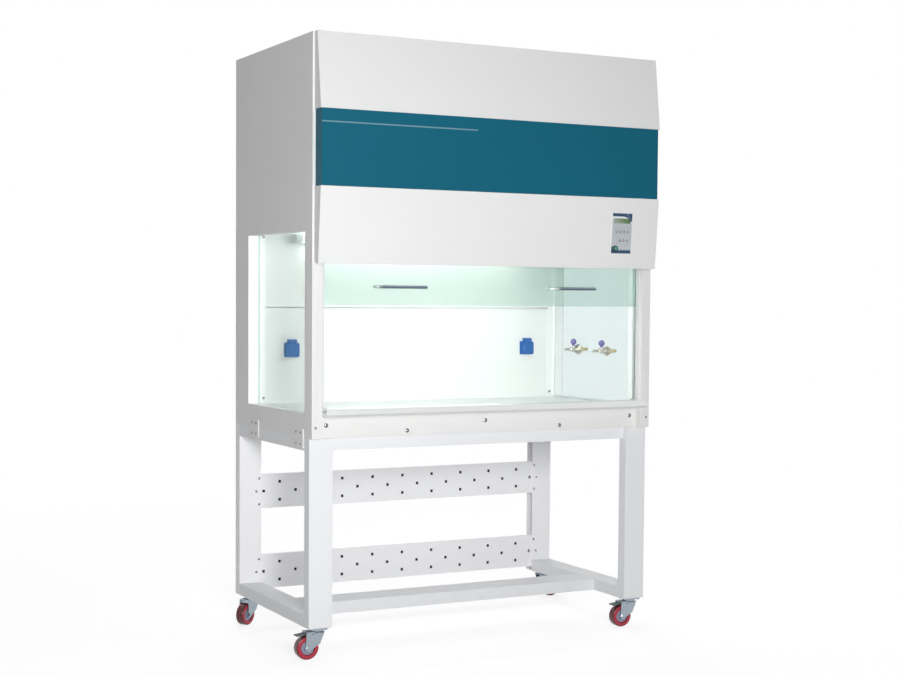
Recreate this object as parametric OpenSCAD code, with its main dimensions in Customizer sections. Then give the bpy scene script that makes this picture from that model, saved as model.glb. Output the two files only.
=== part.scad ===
// Vertical laminar flow cabinet on a wheeled stand.
// Lengths are in millimetres. X runs across the front, Y from front to back, Z up from the floor.
// Modules are written with Y = 0 at the face of the front posts; place() moves the whole
// cabinet so that the origin lies under the middle of its box.

/* [Cabinet] */
// Width over the side walls
cab_w = 1260; // [1060:10:1860]
// Depth from the face of the front posts to the back
cab_d = 700; // [680:10:800]
// Height of the cabinet above its stand
cab_h = 1260; // [1240:10:1400]
// Thickness of a hollow side wall
wall_t = 35; // [32:1:40]
// Thickness of the sheet steel
sheet = 1.5; // [1.2:0.1:2]
// Depth of a front post
post_d = 30; // [28:1:34]
// Height of the work surface above the cabinet's bottom
work_h = 74; // [70:1:90]
// Height of the work chamber
chamber_h = 610; // [600:5:650]
// Depth of the service duct behind the inner rear wall
duct_d = 120; // [100:5:140]
// Height of the joint between the two inner rear panels above the work surface
rear_seam_h = 332; // [300:1:400]
// Gap at a joint between two panels
seam_gap = 2; // [1:0.5:3]

/* [Side windows] */
// Distance of the window from the face of the posts
win_front = 60; // [60:1:80]
// Distance of the window from the cabinet's back
win_back = 128; // [124:1:160]
// Height of the sill above the work surface
win_sill = 3; // [3:1:10]
// Depth of the wall left above the window
win_head = 34; // [30:1:60]
// Thickness of all the glass
glass_t = 5; // [4:0.5:6]
// How far the glass and the seam trims overlap the window frame
win_lap = 7; // [5:1:10]
// Width of the trim that covers the glass's rear edge
trim_rear_w = 50; // [40:1:60]
// Width of its second leg, along the rear wall
trim_leg_w = 35; // [25:1:45]
// Width of the trim that covers the glass's front edge
trim_front_w = 27; // [24:1:32]

/* [Worktop] */
// Thickness of the worktop's stainless sheet
top_t = 2; // [1.5:0.1:3]
// How far the rim stands in front of the posts
lip_out = 35.5; // [20:0.5:50]
// Height of the rim above the work surface
lip_rise = 24; // [15:1:30]
// Depth of the rim from front to back
lip_d = 40; // [36:1:50]
// Radius of the rim's rounded edges
lip_r = 10; // [5:1:11]
// Height of the rim's front flange
lip_flange = 21; // [16:1:26]
// How far the apron lies behind the posts' face
apron_in = 30; // [29:1:40]
// Depth of the flange that the worktop rests on
apron_ledge = 30; // [15:1:40]

/* [Hood] */
// How far the coloured band's neighbours stand in front of the posts
hood_out = 53; // [45:1:70]
// The same at the top edge
hood_top_out = 22.5; // [15:0.5:40]
// The same at the bottom edge
hood_low_out = 33.5; // [20:0.5:44]
// Height of the upper cover
hood_upper_h = 238; // [200:1:280]
// Height of the coloured band
hood_band_h = 237; // [180:1:260]
// Height of the lower cover
hood_lower_h = 238; // [220:1:250]
// How far the covers lie inside the side walls
hood_inset = 6; // [3:1:10]
// How far the band lies behind its neighbours
band_inset = 4; // [2:0.5:6]
// Radius of the lower cover's rear corner
hood_corner_r = 26; // [10:1:30]
// Width of the folded edges
fold_w = 14; // [8:1:20]

/* [Control panel] */
// Width of the keypad
panel_w = 80; // [60:1:100]
// Height of the keypad
panel_h = 137; // [120:1:145]
// Its middle measured from the middle of the cabinet
panel_x = 479; // [300:1:500]
// Its middle measured up from the lower cover's edge
panel_up = 118.5; // [95:0.5:130]
// Thickness of the keypad plate
panel_t = 2; // [2:0.5:5]
// Depth of the housing behind it
panel_box_d = 20; // [12:1:24]
// Diameter of a key
key_d = 9; // [6:0.5:11]
// Diameter of the power button
button_d = 22; // [16:1:24]
// Travel of the power button
button_travel = 1.5; // [1:0.1:2]

/* [Sash] */
// Height of the opening under the sash
opening_h = 344; // [300:1:380]
// Height of the sash glass
sash_h = 562; // [540:1:600]
// Distance of the sash glass behind the posts' face
sash_in = 20; // [19:0.5:21]
// Depth of the slot in which the glass runs
guide_slot = 8; // [6:1:9]
// Side clearance of the glass in its guides
guide_gap = 0.6; // [0.4:0.1:1]
// Wall thickness of the guides
guide_t = 3; // [2.5:0.1:3.2]
// Length of a sash handle
handle_l = 190; // [140:1:240]
// Diameter of a handle
handle_d = 10; // [8:0.5:14]
// Distance of a handle's middle from the middle of the sash
handle_x = 320; // [240:1:380]
// Height of the handles above the glass's lower edge
handle_up = 59; // [30:1:60]
// Distance of the bar from the glass
handle_off = 17; // [14:0.5:24]
// How far the sash goes down to close
sash_down = 338; // [300:1:338]
// How far the sash goes up from rest
sash_up = 55; // [0:1:55]

/* [Counterbalance] */
// Distance of a cable from the middle of the cabinet
cable_x = 450; // [350:1:480]
// Radius from the shaft to the cable's middle
pulley_r = 10; // [9:0.5:11]
// Diameter of the cable
cable_d = 2; // [1.5:0.1:2.5]
// Diameter of the shafts
shaft_d = 10; // [8:0.5:11]
// Radial clearance of a shaft in its bearing
run_gap = 0.05; // [0.02:0.01:0.1]
// Distance of the shafts behind the posts' face
shaft_in = 40; // [39.5:0.5:40.5]
// Width of a counterweight
weight_w = 250; // [150:5:250]
// Thickness of a counterweight
weight_t = 16; // [12:1:17]
// Height of a counterweight
weight_h = 150; // [80:5:150]

/* [Filter and blower] */
// Height of the main filter
filter_h = 90; // [60:1:120]
// Pitch of the filter's pleats
pleat_pitch = 20; // [14:1:30]
// Height of the plenum box
plenum_h = 254; // [240:1:280]
// Outer radius of the impeller
wheel_r = 90; // [80:1:95]
// Width of the impeller
wheel_w = 180; // [150:5:200]
// Number of blades
blades = 36; // [24:1:48]
// Smallest radius of the blower's scroll
scroll_r0 = 105; // [100:1:112]
// Largest radius of the scroll
scroll_r1 = 150; // [140:1:152]

/* [Lamps] */
// Length of a lamp tube
tube_l = 895; // [600:5:900]
// Diameter of a lamp tube
tube_d = 26; // [16:1:26]

/* [Services] */
// Distance of the sockets from the middle
socket_x = 470; // [350:1:480]
// Height of a socket's middle above the work surface
socket_up = 185; // [150:1:260]
// Width of a socket
socket_w = 54; // [48:1:60]
// Height of a socket
socket_h = 50; // [46:1:54]
// Distance of the front tap from the posts' face
tap_front = 209; // [160:1:260]
// Distance between the taps
tap_pitch = 190; // [120:1:220]
// Height of the taps above the work surface
tap_up = 184; // [120:1:260]
// Diameter of a tap's flange
tap_flange_d = 37; // [30:1:44]
// Length of a tap inside the chamber
tap_l = 61; // [55:1:80]
// Diameter of a tap's knob
knob_d = 24; // [20:1:28]

/* [Stand] */
// Length of the legs
leg_len = 600; // [500:10:800]
// Width of a leg, seen from the front
leg_w = 80; // [60:1:80]
// Depth of a leg
leg_d = 40; // [40:1:50]
// Wall thickness of the tubes
tube_t = 2; // [1.5:0.1:3]
// How far the legs lie behind the posts
leg_in = 20; // [10:1:30]
// Height of the rails
rail_h = 40; // [30:1:50]
// Depth of the front and rear beams
beam_d = 20; // [15:1:30]
// Distance of the cross rail from the posts' face
cross_in = 215; // [150:1:300]
// Width of the cross rail
cross_w = 120; // [80:1:140]
// Height of a perforated strip
strip_h = 120; // [100:1:130]
// Height of the upper strip's middle above the leg's foot
strip_high = 360; // [300:1:420]
// Height of the lower strip's middle above the leg's foot
strip_low = 76; // [76:1:120]
// Distance between neighbouring columns of holes
peg_pitch = 60; // [40:1:80]
// Height of the outer holes above the strip's middle
peg_rise = 32; // [20:1:40]
// Side of a square hole
peg = 10; // [6:0.5:12]
// Width of a plate that joins the cabinet to its stand
joint_w = 80; // [70:1:90]
// Height of such a plate
joint_h = 62; // [56:1:70]
// Distance between the screws in a plate
joint_pitch = 36; // [28:1:40]

/* [Casters] */
// Height of a caster
caster_h = 100; // [96:1:110]
// Diameter of a wheel
caster_d = 75; // [60:1:76]
// Width of a wheel
caster_w = 32; // [24:1:34]
// Distance of the wheel's axle from the swivel's axis
caster_trail = 36; // [30:1:36]
// Side of the square mounting plate
caster_plate = 60; // [56:1:64]
// Distance of the caster's axis from the side and the rear
caster_in = 40; // [35:1:45]
// Distance of the front casters' axis from the posts' face
caster_front = 50; // [46:1:60]

/* [Screws] */
// Head diameter of the screws in the apron
big_head = 14; // [10:0.5:16]
// Head diameter of all the other screws
small_head = 9; // [7:0.5:10]
// Length of a screw under its head
shank_l = 8; // [6:0.5:10]

/* [Hidden] */
$fn = 48;

// Heights
cab_z = caster_h + leg_len;
work_z = cab_z + work_h;
seam_z = work_z + chamber_h;
top_z = cab_z + cab_h;

// Half widths and depths
half_w = cab_w / 2;
in_w = half_w - wall_t;
rear_y = cab_d - duct_d;
mid_y = (cab_d - hood_out) / 2;
back_in = 2;
back_cover_y = cab_d - back_in - fold_w - 1;
fit_gap = 0.5;

// Height of the seam between the two inner rear sheets
rear_seam_z = work_z + rear_seam_h;

// Window opening
win_y0 = win_front;
win_y1 = cab_d - win_back;
win_z0 = work_z + win_sill;
win_z1 = seam_z - win_head;
glass_z1 = win_z1 + 2 * win_lap;
trim_t = sheet;
trim_x = in_w - glass_t - trim_t;
trim_front_y0 = win_y0 - 2 * win_lap;
trim_screw_up = 16;

// Hood outline, from the top down
band_top = top_z - hood_upper_h;
band_bottom = band_top - hood_band_h;
hood_bottom = band_bottom - hood_lower_h;
hood_half = half_w - hood_inset;
hood_tilt = atan((hood_out - hood_low_out) / hood_lower_h);
panel_z = hood_bottom + panel_up;
panel_y = -hood_low_out - (hood_out - hood_low_out) * panel_up / hood_lower_h;
panel_corner = 5;
button_at = [-panel_w / 2 + 18, -panel_h / 2 + 16.5];
button_gap = 0.4;
button_proud = 2.2;
button_body = 6;
button_stem_d = 8;

// Sash and counterbalance
sash_z = work_z + opening_h;
sash_half = in_w - 5;
guide_x = in_w - 12;
guide_y0 = sash_in - guide_gap - guide_t;
guide_y1 = sash_in + glass_t + guide_gap + guide_t;
shaft_end = 0.5;
bearing_h = 40;
bearing_y1 = shaft_in + shaft_d / 2 + 0.6;
shaft_high = top_z - 60;
shaft_low = hood_bottom + 43;
flange_r = pulley_r + 2.5;
pulley_w = 8;
weight_z = sash_z + 257;
clamp_size = [20, 8, 30];
clamp_z = sash_z + sash_h - 25;

// Filter and blower
skirt_z = hood_bottom + 15;
skirt_y = shaft_in + 20;
plenum_z0 = seam_z + 2;
plenum_z1 = plenum_z0 + plenum_h;
plenum_half = in_w;
plenum_ledge = 25;
filter_gap = 0.3;
filter_frame = 15;
blower_y = (skirt_y + rear_y) / 2;
blower_z = plenum_z1 + scroll_r1;
scroll_w = wheel_w + 40;
tongue_a = 300;
blade_ring = 18;
blade_t = 1.2;
blade_r = blade_ring / 2 - 0.2;
blower_shaft_r = 6;
motor_r = 52;
motor_l = 110;
motor_gap = 8;

// Services
socket_z = work_z + socket_up;
socket_t = 5;
socket_gap = 0.3;
socket_barrel_r = 21.5;
socket_barrel_l = 35;
socket_well_r = 18.3;
socket_well_d = 8;
socket_front = 11;
contact_pitch = 19;
socket_hinge_w = 30;
socket_ear_t = 3;
socket_ear_r = 5.5;
socket_pin_r = 1.5;
socket_pin_y = socket_h / 2 + 6;
socket_pin_out = 12;
socket_lid_z = socket_front + 1.5;
lid_knuckle_w = socket_hinge_w - 2 * socket_ear_t - 1;
tap_z = work_z + tap_up;
tap_x = in_w - glass_t;
tap_hole_r = 7;
tap_body_r = 9;
nozzle_r = 4.6;
stem_at = 23;
stem_r = 3;
knob_z0 = 11;
knob_h = 28;
knob_tip_r = 7;

// Stand
leg_x = half_w - leg_w;
back_leg_y = cab_d - leg_d;
rail_y0 = leg_in + leg_d;
rail_l = back_leg_y - rail_y0;
strip_end = 25;
strip_screw_rise = 45;
strip_y = back_leg_y + tube_t;
joint_z = cab_z - 2.5;
joint_t = 3;
joint_ys = [win_y0 + 46, win_y1 - 64];

// Casters: each trails its own way at rest
race_r = 23;
race_h = 7;
kingpin_r = 5;
fork_top = caster_h - 3 - race_h - 0.3;
fork_t = 2.5;
fork_gap = 1.5;
axle_r = 4;
caster_back = cab_d - caster_front;
pedal_at = [-20, 82];
pedal_pin_r = 2.5;

// Screw places, shared by the holes and the screws
apron_screws = [
  [-in_w + 26, 40], [-in_w / 2 + 11.5, 15], [0, 40], [in_w / 2 - 11.5, 15], [in_w - 26, 40]
];
post_screw_x = half_w - 12;
post_screw_up = 35;
back_screw_xs = [for (i = [-2:2]) i * (in_w - 20) / 2];
strip_screws = [
  [8, strip_high + strip_screw_rise], [18, strip_high], [8, strip_high - strip_screw_rise],
  [8, strip_low + strip_screw_rise], [18, strip_low]
];
back_head = 4 * back_in;

module place() translate([0, -mid_y, 0]) children();

module both() {
  children();
  mirror([1, 0, 0]) children();
}

module white() color([0.93, 0.94, 0.95]) children();

// A box given by its two corners
module span_box(a, b) translate(a) cube(b - a);

// A rectangle with round corners
module round_rect(w, h, r) {
  for (x = [-1, 1], y = [-1, 1])
    translate([x * (w / 2 - r), y * (h / 2 - r)]) circle(r);
  square([w - 2 * r, h], center = true);
  square([w, h - 2 * r], center = true);
}

// Pan head screw along +Z, with its head's underside at z = 0
module screw(head) {
  rotate_extrude() intersection() {
    translate([0, -head * 0.55]) circle(head * 0.8);
    square([head / 2, head]);
  }
  translate([0, 0, -shank_l]) cylinder(d = head * 0.55, h = shank_l);
}

module screw_hole(head) translate([0, 0, -shank_l - 1]) cylinder(d = head * 0.55 + 0.4, h = shank_l + 2);

// Places that a screw's axis points out of the surface it sits on
module at_apron_screws() for (p = apron_screws)
  translate([p[0], apron_in, cab_z + p[1]]) rotate([90, 0, 0]) children();

module at_post_screws() both()
  translate([post_screw_x, 0, cab_z + post_screw_up]) rotate([90, 0, 0]) children();

module at_trim_screws() both() for (z = [win_z0 + trim_screw_up, glass_z1 - trim_screw_up]) {
  translate([in_w - glass_t - trim_leg_w / 2, rear_y - trim_t, z]) rotate([90, 0, 0]) children();
  translate([trim_x, trim_front_y0 + 3.5, z]) rotate([0, -90, 0]) children();
}

module at_joint_screws() both() for (y = joint_ys, dy = [-1, 1], dz = [-1, 1])
  translate([half_w + joint_t, y + dy * joint_pitch / 2, joint_z + dz * joint_pitch / 2])
    rotate([0, 90, 0]) children();

module at_strip_screws() both() for (p = strip_screws)
  translate([leg_x + p[0], back_leg_y, caster_h + p[1]]) rotate([90, 0, 0]) children();

module at_back_screws() for (x = back_screw_xs, z = [cab_z + 10, seam_z - 12, seam_z + 14, top_z - 12])
  translate([x, cab_d - back_in, z]) rotate([-90, 0, 0]) children();

// Upper side wall: hollow, with an access hole in its inner skin
module side_panel() difference() {
  span_box([in_w, post_d, seam_z], [half_w, cab_d, top_z]);
  span_box([in_w + sheet, post_d + sheet, seam_z + sheet], [half_w - sheet, cab_d - sheet, top_z - sheet]);
  span_box([in_w - 1, cab_d - 250, top_z - 160], [in_w + 2 * sheet, cab_d - 60, top_z - 60]);
}

// Lower side wall: a hollow frame round the window
module side_frame() difference() {
  span_box([in_w, post_d, cab_z], [half_w, cab_d, seam_z]);
  span_box([in_w - 1, win_y0, win_z0], [half_w + 1, win_y1, win_z1]);
  difference() {
    span_box([in_w + sheet, post_d + sheet, cab_z + sheet], [half_w - sheet, cab_d - sheet, seam_z - sheet]);
    span_box([in_w, win_y0 - sheet, win_z0 - sheet], [half_w, win_y1 + sheet, win_z1 + sheet]);
  }
  at_joint_screws() screw_hole(small_head);
  at_trim_screws() screw_hole(small_head);
}

module side_panel_left() place() white() mirror([1, 0, 0]) side_panel();
module side_panel_right() place() white() side_panel();
module side_frame_left() place() white() mirror([1, 0, 0]) side_frame();
module side_frame_right() place() white() side_frame();

// Front posts: channels that open to the back
module front_posts() place() white() both() difference() {
  span_box([in_w, 0, cab_z], [half_w, post_d, top_z]);
  span_box([in_w + sheet, sheet, cab_z + sheet], [half_w - sheet, post_d + 1, top_z - sheet]);
  at_post_screws() screw_hole(small_head);
}

// Side glass, drilled on the right for the taps
module side_windows() place() color([0.75, 0.88, 0.84, 0.5]) {
  mirror([1, 0, 0]) side_pane();
  difference() {
    side_pane();
    at_taps() translate([0, 0, -glass_t - 1]) cylinder(r = tap_hole_r, h = glass_t + 2);
  }
}

module side_pane() span_box(
  [in_w - glass_t, win_y0 - win_lap, win_z0], [in_w, win_y1 + win_lap / 2, glass_z1]);

// Trims that clamp the glass: an angle in the rear corner and a flat strip in front
module window_trims() place() white() both() difference() {
  union() {
    span_box([trim_x, rear_y - trim_rear_w, win_z0], [trim_x + trim_t, rear_y, glass_z1]);
    span_box([in_w - glass_t - trim_leg_w, rear_y - trim_t, win_z0], [trim_x + trim_t, rear_y, glass_z1]);
    span_box([trim_x, trim_front_y0, win_z0], [trim_x + trim_t, trim_front_y0 + trim_front_w, glass_z1]);
  }
  at_trim_screws() screw_hole(small_head);
}

// One inner rear panel with a folded edge towards the duct
module rear_sheet(z0, z1, fold_z) {
  span_box([-in_w, rear_y, z0], [in_w, rear_y + top_t, z1]);
  span_box([-in_w, rear_y, fold_z], [in_w, rear_y + fold_w, fold_z + sheet]);
}

module rear_wall() place() white() difference() {
  union() {
    rear_sheet(work_z - top_t, rear_seam_z - seam_gap / 2, rear_seam_z - seam_gap / 2 - sheet);
    rear_sheet(rear_seam_z + seam_gap / 2, seam_z, rear_seam_z + seam_gap / 2);
  }
  at_sockets() translate([0, 0, -20]) linear_extrude(40)
    square(2 * (socket_barrel_r + fit_gap), center = true);
  at_trim_screws() screw_hole(small_head);
}

// Outer back: two covers with folded edges, the lower one with the power inlet
module back_cover(z0, z1) difference() {
  span_box([-in_w + fit_gap, cab_d - back_in - fold_w, z0], [in_w - fit_gap, cab_d - back_in, z1]);
  span_box([-in_w + fit_gap + sheet, cab_d - back_in - fold_w - 1, z0 + sheet],
           [in_w - fit_gap - sheet, cab_d - back_in - sheet, z1 - sheet]);
}

module back_panel() place() white() difference() {
  union() {
    back_cover(cab_z + sheet + fit_gap, seam_z - seam_gap / 2);
    back_cover(seam_z + seam_gap / 2, top_z - sheet - fit_gap);
  }
  at_back_screws() screw_hole(back_head);
  at_inlet() inlet_body(fit_gap);
}

// Roof with slots over the intake filter
slot_l = 120;
slot_w = 8;
slot_pitch = 20;
intake_w = 480;
intake_y = [200, 340];

module top_panel() place() white() difference() {
  span_box([-in_w + fit_gap, 0, top_z - fold_w], [in_w - fit_gap, cab_d - back_in, top_z]);
  span_box([-in_w + fit_gap + sheet, sheet, top_z - fold_w - 1],
           [in_w - fit_gap - sheet, cab_d, top_z - sheet]);
  span_box([-in_w, back_cover_y, top_z - fold_w - 1], [in_w, cab_d, top_z - sheet]);
  for (x = [-intake_w / 2 + slot_pitch:slot_pitch:intake_w / 2 - slot_pitch], y = intake_y)
    translate([x - slot_w / 2, y, top_z - 2 * sheet]) cube([slot_w, slot_l, 3 * sheet]);
}

// Intake filter: a frame with a pad under the roof's slots
prefilter_h = 22;

module prefilter() place() color([0.35, 0.42, 0.5]) {
  y0 = intake_y[0] - 20;
  y1 = intake_y[1] + slot_l + 20;
  z1 = top_z - sheet;
  difference() {
    span_box([-intake_w / 2, y0, z1 - prefilter_h], [intake_w / 2, y1, z1]);
    span_box([-intake_w / 2 + 12, y0 + 12, z1 - prefilter_h - 1], [intake_w / 2 - 12, y1 - 12, z1 + 1]);
  }
  span_box([-intake_w / 2 + 12, y0 + 12, z1 - prefilter_h + 3], [intake_w / 2 - 12, y1 - 12, z1 - 4]);
}

// Blower scroll: a spiral that opens straight down
function scroll_r(a, off) = scroll_r1 - (scroll_r1 - scroll_r0) * a / tongue_a - off;
function scroll_outline(off) = concat(
  [for (a = [0:12:tongue_a]) scroll_r(a, off) * [cos(a), sin(a)]],
  [[scroll_r(tongue_a, off) * cos(tongue_a) + 2 * off, -scroll_r1 - (off > 0 ? 1 : 0)],
   [scroll_r(0, off), -scroll_r1 - (off > 0 ? 1 : 0)]]
);

// Turns a drawing in the Y-Z plane into a body along X, with its middle at x = 0
module along_x(l) rotate([90, 0, 90]) translate([0, 0, -l / 2]) linear_extrude(l) children();

module blower_housing() place() color([0.7, 0.72, 0.74])
  translate([0, blower_y, blower_z]) difference() {
    along_x(scroll_w) polygon(scroll_outline(0));
    along_x(scroll_w - 2 * sheet) polygon(scroll_outline(sheet));
    along_x(scroll_w + 2) circle(wheel_r - blade_ring);
  }

// Forward curved impeller with its shaft
module blade() translate([wheel_r - blade_ring / 2, 0]) difference() {
  circle(blade_r);
  circle(blade_r - blade_t);
  translate([-blade_ring, -2 * blade_ring]) square(2 * blade_ring);
}

module impeller() place() color([0.55, 0.57, 0.6]) translate([0, blower_y, blower_z]) {
  difference() {
    along_x(wheel_w - 2 * blade_t) for (i = [0:blades - 1]) rotate(i * 360 / blades) blade();
    along_x(3) circle(wheel_r - blade_ring / 2);
  }
  for (x = [-1, 1]) translate([x * (wheel_w - blade_t) / 2, 0, 0]) along_x(blade_t) difference() {
    circle(wheel_r);
    circle(wheel_r - blade_ring);
  }
  along_x(3) circle(wheel_r - blade_ring / 2);
  along_x(40) circle(2.5 * blower_shaft_r);
  translate([(scroll_w / 2 + motor_gap + motor_l / 2) / 2, 0, 0])
    along_x(scroll_w / 2 + motor_gap + motor_l / 2) circle(blower_shaft_r);
}

// Blower motor on its foot
module blower_motor() place() color([0.3, 0.32, 0.35]) {
  x0 = scroll_w / 2 + motor_gap;
  translate([x0 + motor_l / 2, blower_y, blower_z]) difference() {
    union() {
      along_x(motor_l) circle(motor_r);
      for (x = [-motor_l / 4:motor_l / 8:motor_l / 4]) translate([x, 0, 0]) along_x(3) circle(motor_r + 5);
    }
    translate([-motor_l / 4 - 1, 0, 0]) along_x(motor_l / 2 + 4) circle(blower_shaft_r + run_gap);
  }
  difference() {
    span_box([x0 + 15, blower_y - 45, plenum_z1],
             [x0 + motor_l - 15, blower_y + 45, blower_z - motor_r / 2]);
    span_box([x0 + 14, blower_y - 39, plenum_z1 + 6],
             [x0 + motor_l - 14, blower_y + 39, blower_z - motor_r - 10]);
    translate([x0 + motor_l / 2, blower_y, blower_z]) along_x(motor_l + 2) circle(motor_r + 5);
  }
}

// Plenum: a box over the filter with a ledge under it, and a skirt plate below its front
module plenum_box() place() color([0.8, 0.82, 0.84]) {
  difference() {
    span_box([-plenum_half, skirt_y, plenum_z0], [plenum_half, rear_y - 2, plenum_z1]);
    span_box([-plenum_half + sheet, skirt_y + sheet, plenum_z0 + sheet],
             [plenum_half - sheet, rear_y - 2 - sheet, plenum_z1 - sheet]);
    span_box([-plenum_half + plenum_ledge, skirt_y + plenum_ledge, plenum_z0 - 1],
             [plenum_half - plenum_ledge, rear_y - 2 - plenum_ledge, plenum_z0 + 2 * sheet]);
    translate([0, blower_y, blower_z]) along_x(scroll_w - 2 * sheet)
      polygon([[scroll_r(tongue_a, sheet) * cos(tongue_a) + 2 * sheet, -scroll_r1 - 2 * sheet],
               [scroll_r(0, sheet), -scroll_r1 - 2 * sheet],
               [scroll_r(0, sheet), -scroll_r1 + 1],
               [scroll_r(tongue_a, sheet) * cos(tongue_a) + 2 * sheet, -scroll_r1 + 1]]);
  }
  span_box([-trim_x + 1, skirt_y, skirt_z], [trim_x - 1, skirt_y + sheet, plenum_z0 - filter_gap]);
}

// Main filter: a frame round a pleated pack
module hepa_filter() place() color([0.95, 0.95, 0.9]) {
  x1 = plenum_half - sheet - filter_gap;
  y0 = skirt_y + sheet + filter_gap;
  y1 = rear_y - 2 - sheet - filter_gap;
  z0 = plenum_z0 + sheet;
  pleats = floor((2 * x1 - 2 * filter_frame) / pleat_pitch);
  pack_w = pleats * pleat_pitch;
  difference() {
    span_box([-x1, y0, z0], [x1, y1, z0 + filter_h]);
    span_box([-pack_w / 2, y0 + filter_frame, z0 - 1], [pack_w / 2, y1 - filter_frame, z0 + filter_h + 1]);
  }
  translate([0, y1 - filter_frame, z0]) rotate([90, 0, 0]) linear_extrude(y1 - y0 - 2 * filter_frame)
    polygon(concat(
      [for (i = [0:2 * pleats]) [-pack_w / 2 + i * pleat_pitch / 2, i % 2 == 0 ? 3 : filter_h - 5]],
      [for (i = [2 * pleats:-1:0]) [-pack_w / 2 + i * pleat_pitch / 2, i % 2 == 0 ? 5 : filter_h - 3]]));
}

// Slotted diffuser over the work chamber
diff_slot_l = 130;
diff_slot_w = 10;
diff_pitch = 28;
diff_row = diff_slot_l + 25;

module diffuser() place() color([0.9, 0.92, 0.93]) {
  x1 = trim_x - 2;
  y0 = skirt_y + sheet;
  y1 = rear_y - 2;
  n = floor((x1 - 30) / diff_pitch);
  difference() {
    span_box([-x1, y0, seam_z - 6], [x1, y1, plenum_z0]);
    span_box([-x1 + sheet, y0 + sheet, seam_z - 6 + sheet], [x1 - sheet, y1 - sheet, plenum_z0 + 1]);
    for (i = [-n:n], j = [-1:1])
      translate([i * diff_pitch - diff_slot_w / 2, (y0 + y1 - diff_slot_l) / 2 + j * diff_row, seam_z - 7])
        cube([diff_slot_w, diff_slot_l, 3 * sheet]);
  }
}

// Lamps: one behind the skirt for light, one at the rear wall against germs
fitting_d = 21;
fitting_h = 30;
holder_l = 22;
lamp_z = seam_z - 40;
lamp_ys = [skirt_y + sheet, rear_y];
lamp_axis = fitting_d + tube_d / 2 + 2;

module at_lamps() {
  translate([0, lamp_ys[0], lamp_z]) children();
  translate([0, lamp_ys[1], lamp_z]) mirror([0, 1, 0]) children();
}

module lamp_tubes() place() color([0.97, 0.98, 1]) at_lamps() translate([0, lamp_axis, 0]) {
  along_x(tube_l - 2) circle(d = tube_d);
  for (x = [-1, 1], y = [-1, 1]) translate([x * (tube_l + 4) / 2, y * 6, 0]) along_x(10) circle(1.2);
}

module lamp_fittings() place() white() at_lamps() {
  half = tube_l / 2 + holder_l;
  difference() {
    span_box([-half, 0, -fitting_h / 2], [half, fitting_d, fitting_h / 2]);
    span_box([-half + 2, -1, -fitting_h / 2 + 2], [half - 2, fitting_d - 2, fitting_h / 2 - 2]);
  }
  for (x = [-1, 1]) difference() {
    translate([x * (tube_l + holder_l) / 2, 0, 0]) {
      translate([0, (fitting_d + lamp_axis) / 2, 0])
        cube([holder_l, lamp_axis - fitting_d, fitting_h], center = true);
      translate([0, lamp_axis, 0]) along_x(holder_l) circle(d = fitting_h);
    }
    translate([x * (tube_l + 4) / 2, lamp_axis, 0]) for (y = [-1, 1])
      translate([0, y * 6, 0]) along_x(12) circle(1.5);
  }
}

// A folded cover, open at the back: the outer outline less the inner one
module hood_shell(outer, inner, half) difference() {
  along_x(2 * half) polygon(outer);
  along_x(2 * half - 2 * sheet) polygon(inner);
}

module hood_upper() place() white() hood_shell(
  [[0, top_z], [-hood_top_out, top_z], [-hood_out, band_top], [0, band_top]],
  [[1, top_z - sheet], [-hood_top_out + sheet, top_z - sheet],
   [-hood_out + sheet, band_top + sheet], [-hood_out + fold_w, band_top + sheet],
   [-hood_out + fold_w, band_top - 1], [1, band_top - 1]],
  hood_half);

module hood_band() place() color([0.1, 0.38, 0.47]) hood_shell(
  [[0, band_top], [-hood_out + band_inset, band_top],
   [-hood_out + band_inset, band_bottom], [0, band_bottom]],
  [[1, band_top + 1], [-hood_out + fold_w, band_top + 1], [-hood_out + fold_w, band_top - sheet],
   [-hood_out + band_inset + sheet, band_top - sheet], [-hood_out + band_inset + sheet, band_bottom + sheet],
   [-hood_out + fold_w, band_bottom + sheet], [-hood_out + fold_w, band_bottom - 1], [1, band_bottom - 1]],
  hood_half - band_inset);

module hood_lower() place() white() difference() {
  hood_shell(
    [[0, band_bottom], [-hood_out, band_bottom], [-hood_low_out, hood_bottom], [0, hood_bottom]],
    [[1, band_bottom + 1], [-hood_out + fold_w, band_bottom + 1], [-hood_out + fold_w, band_bottom - sheet],
     [-hood_out + sheet, band_bottom - sheet], [-hood_low_out + sheet, hood_bottom + sheet],
     [-hood_low_out + fold_w, hood_bottom + sheet], [-hood_low_out + fold_w, hood_bottom - 1],
     [1, hood_bottom - 1]],
    hood_half);
  along_x(2 * half_w) difference() {
    translate([-hood_corner_r, hood_bottom - 1]) square([hood_corner_r + 1, hood_corner_r + 1]);
    translate([-hood_corner_r, hood_bottom + hood_corner_r]) circle(hood_corner_r);
  }
  on_facet() translate([0, 0, -5]) linear_extrude(20) square([panel_w - 10, panel_h - 10], center = true);
}

// The keypad's place: x across, y up along the cover, z out of it
module on_facet() translate([panel_x, panel_y, panel_z]) rotate([90 + hood_tilt, 0, 0]) children();

// Keypad: two rows of domes, a display window and a well for the power button
key_rows = [[for (i = [0:3]) [-21 + 14.5 * i, 5]], [for (i = [0:2]) [-6.5 + 14.5 * i, -24.5]]];
display_at = [0, 42];
display_size = [66, 17];

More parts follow.
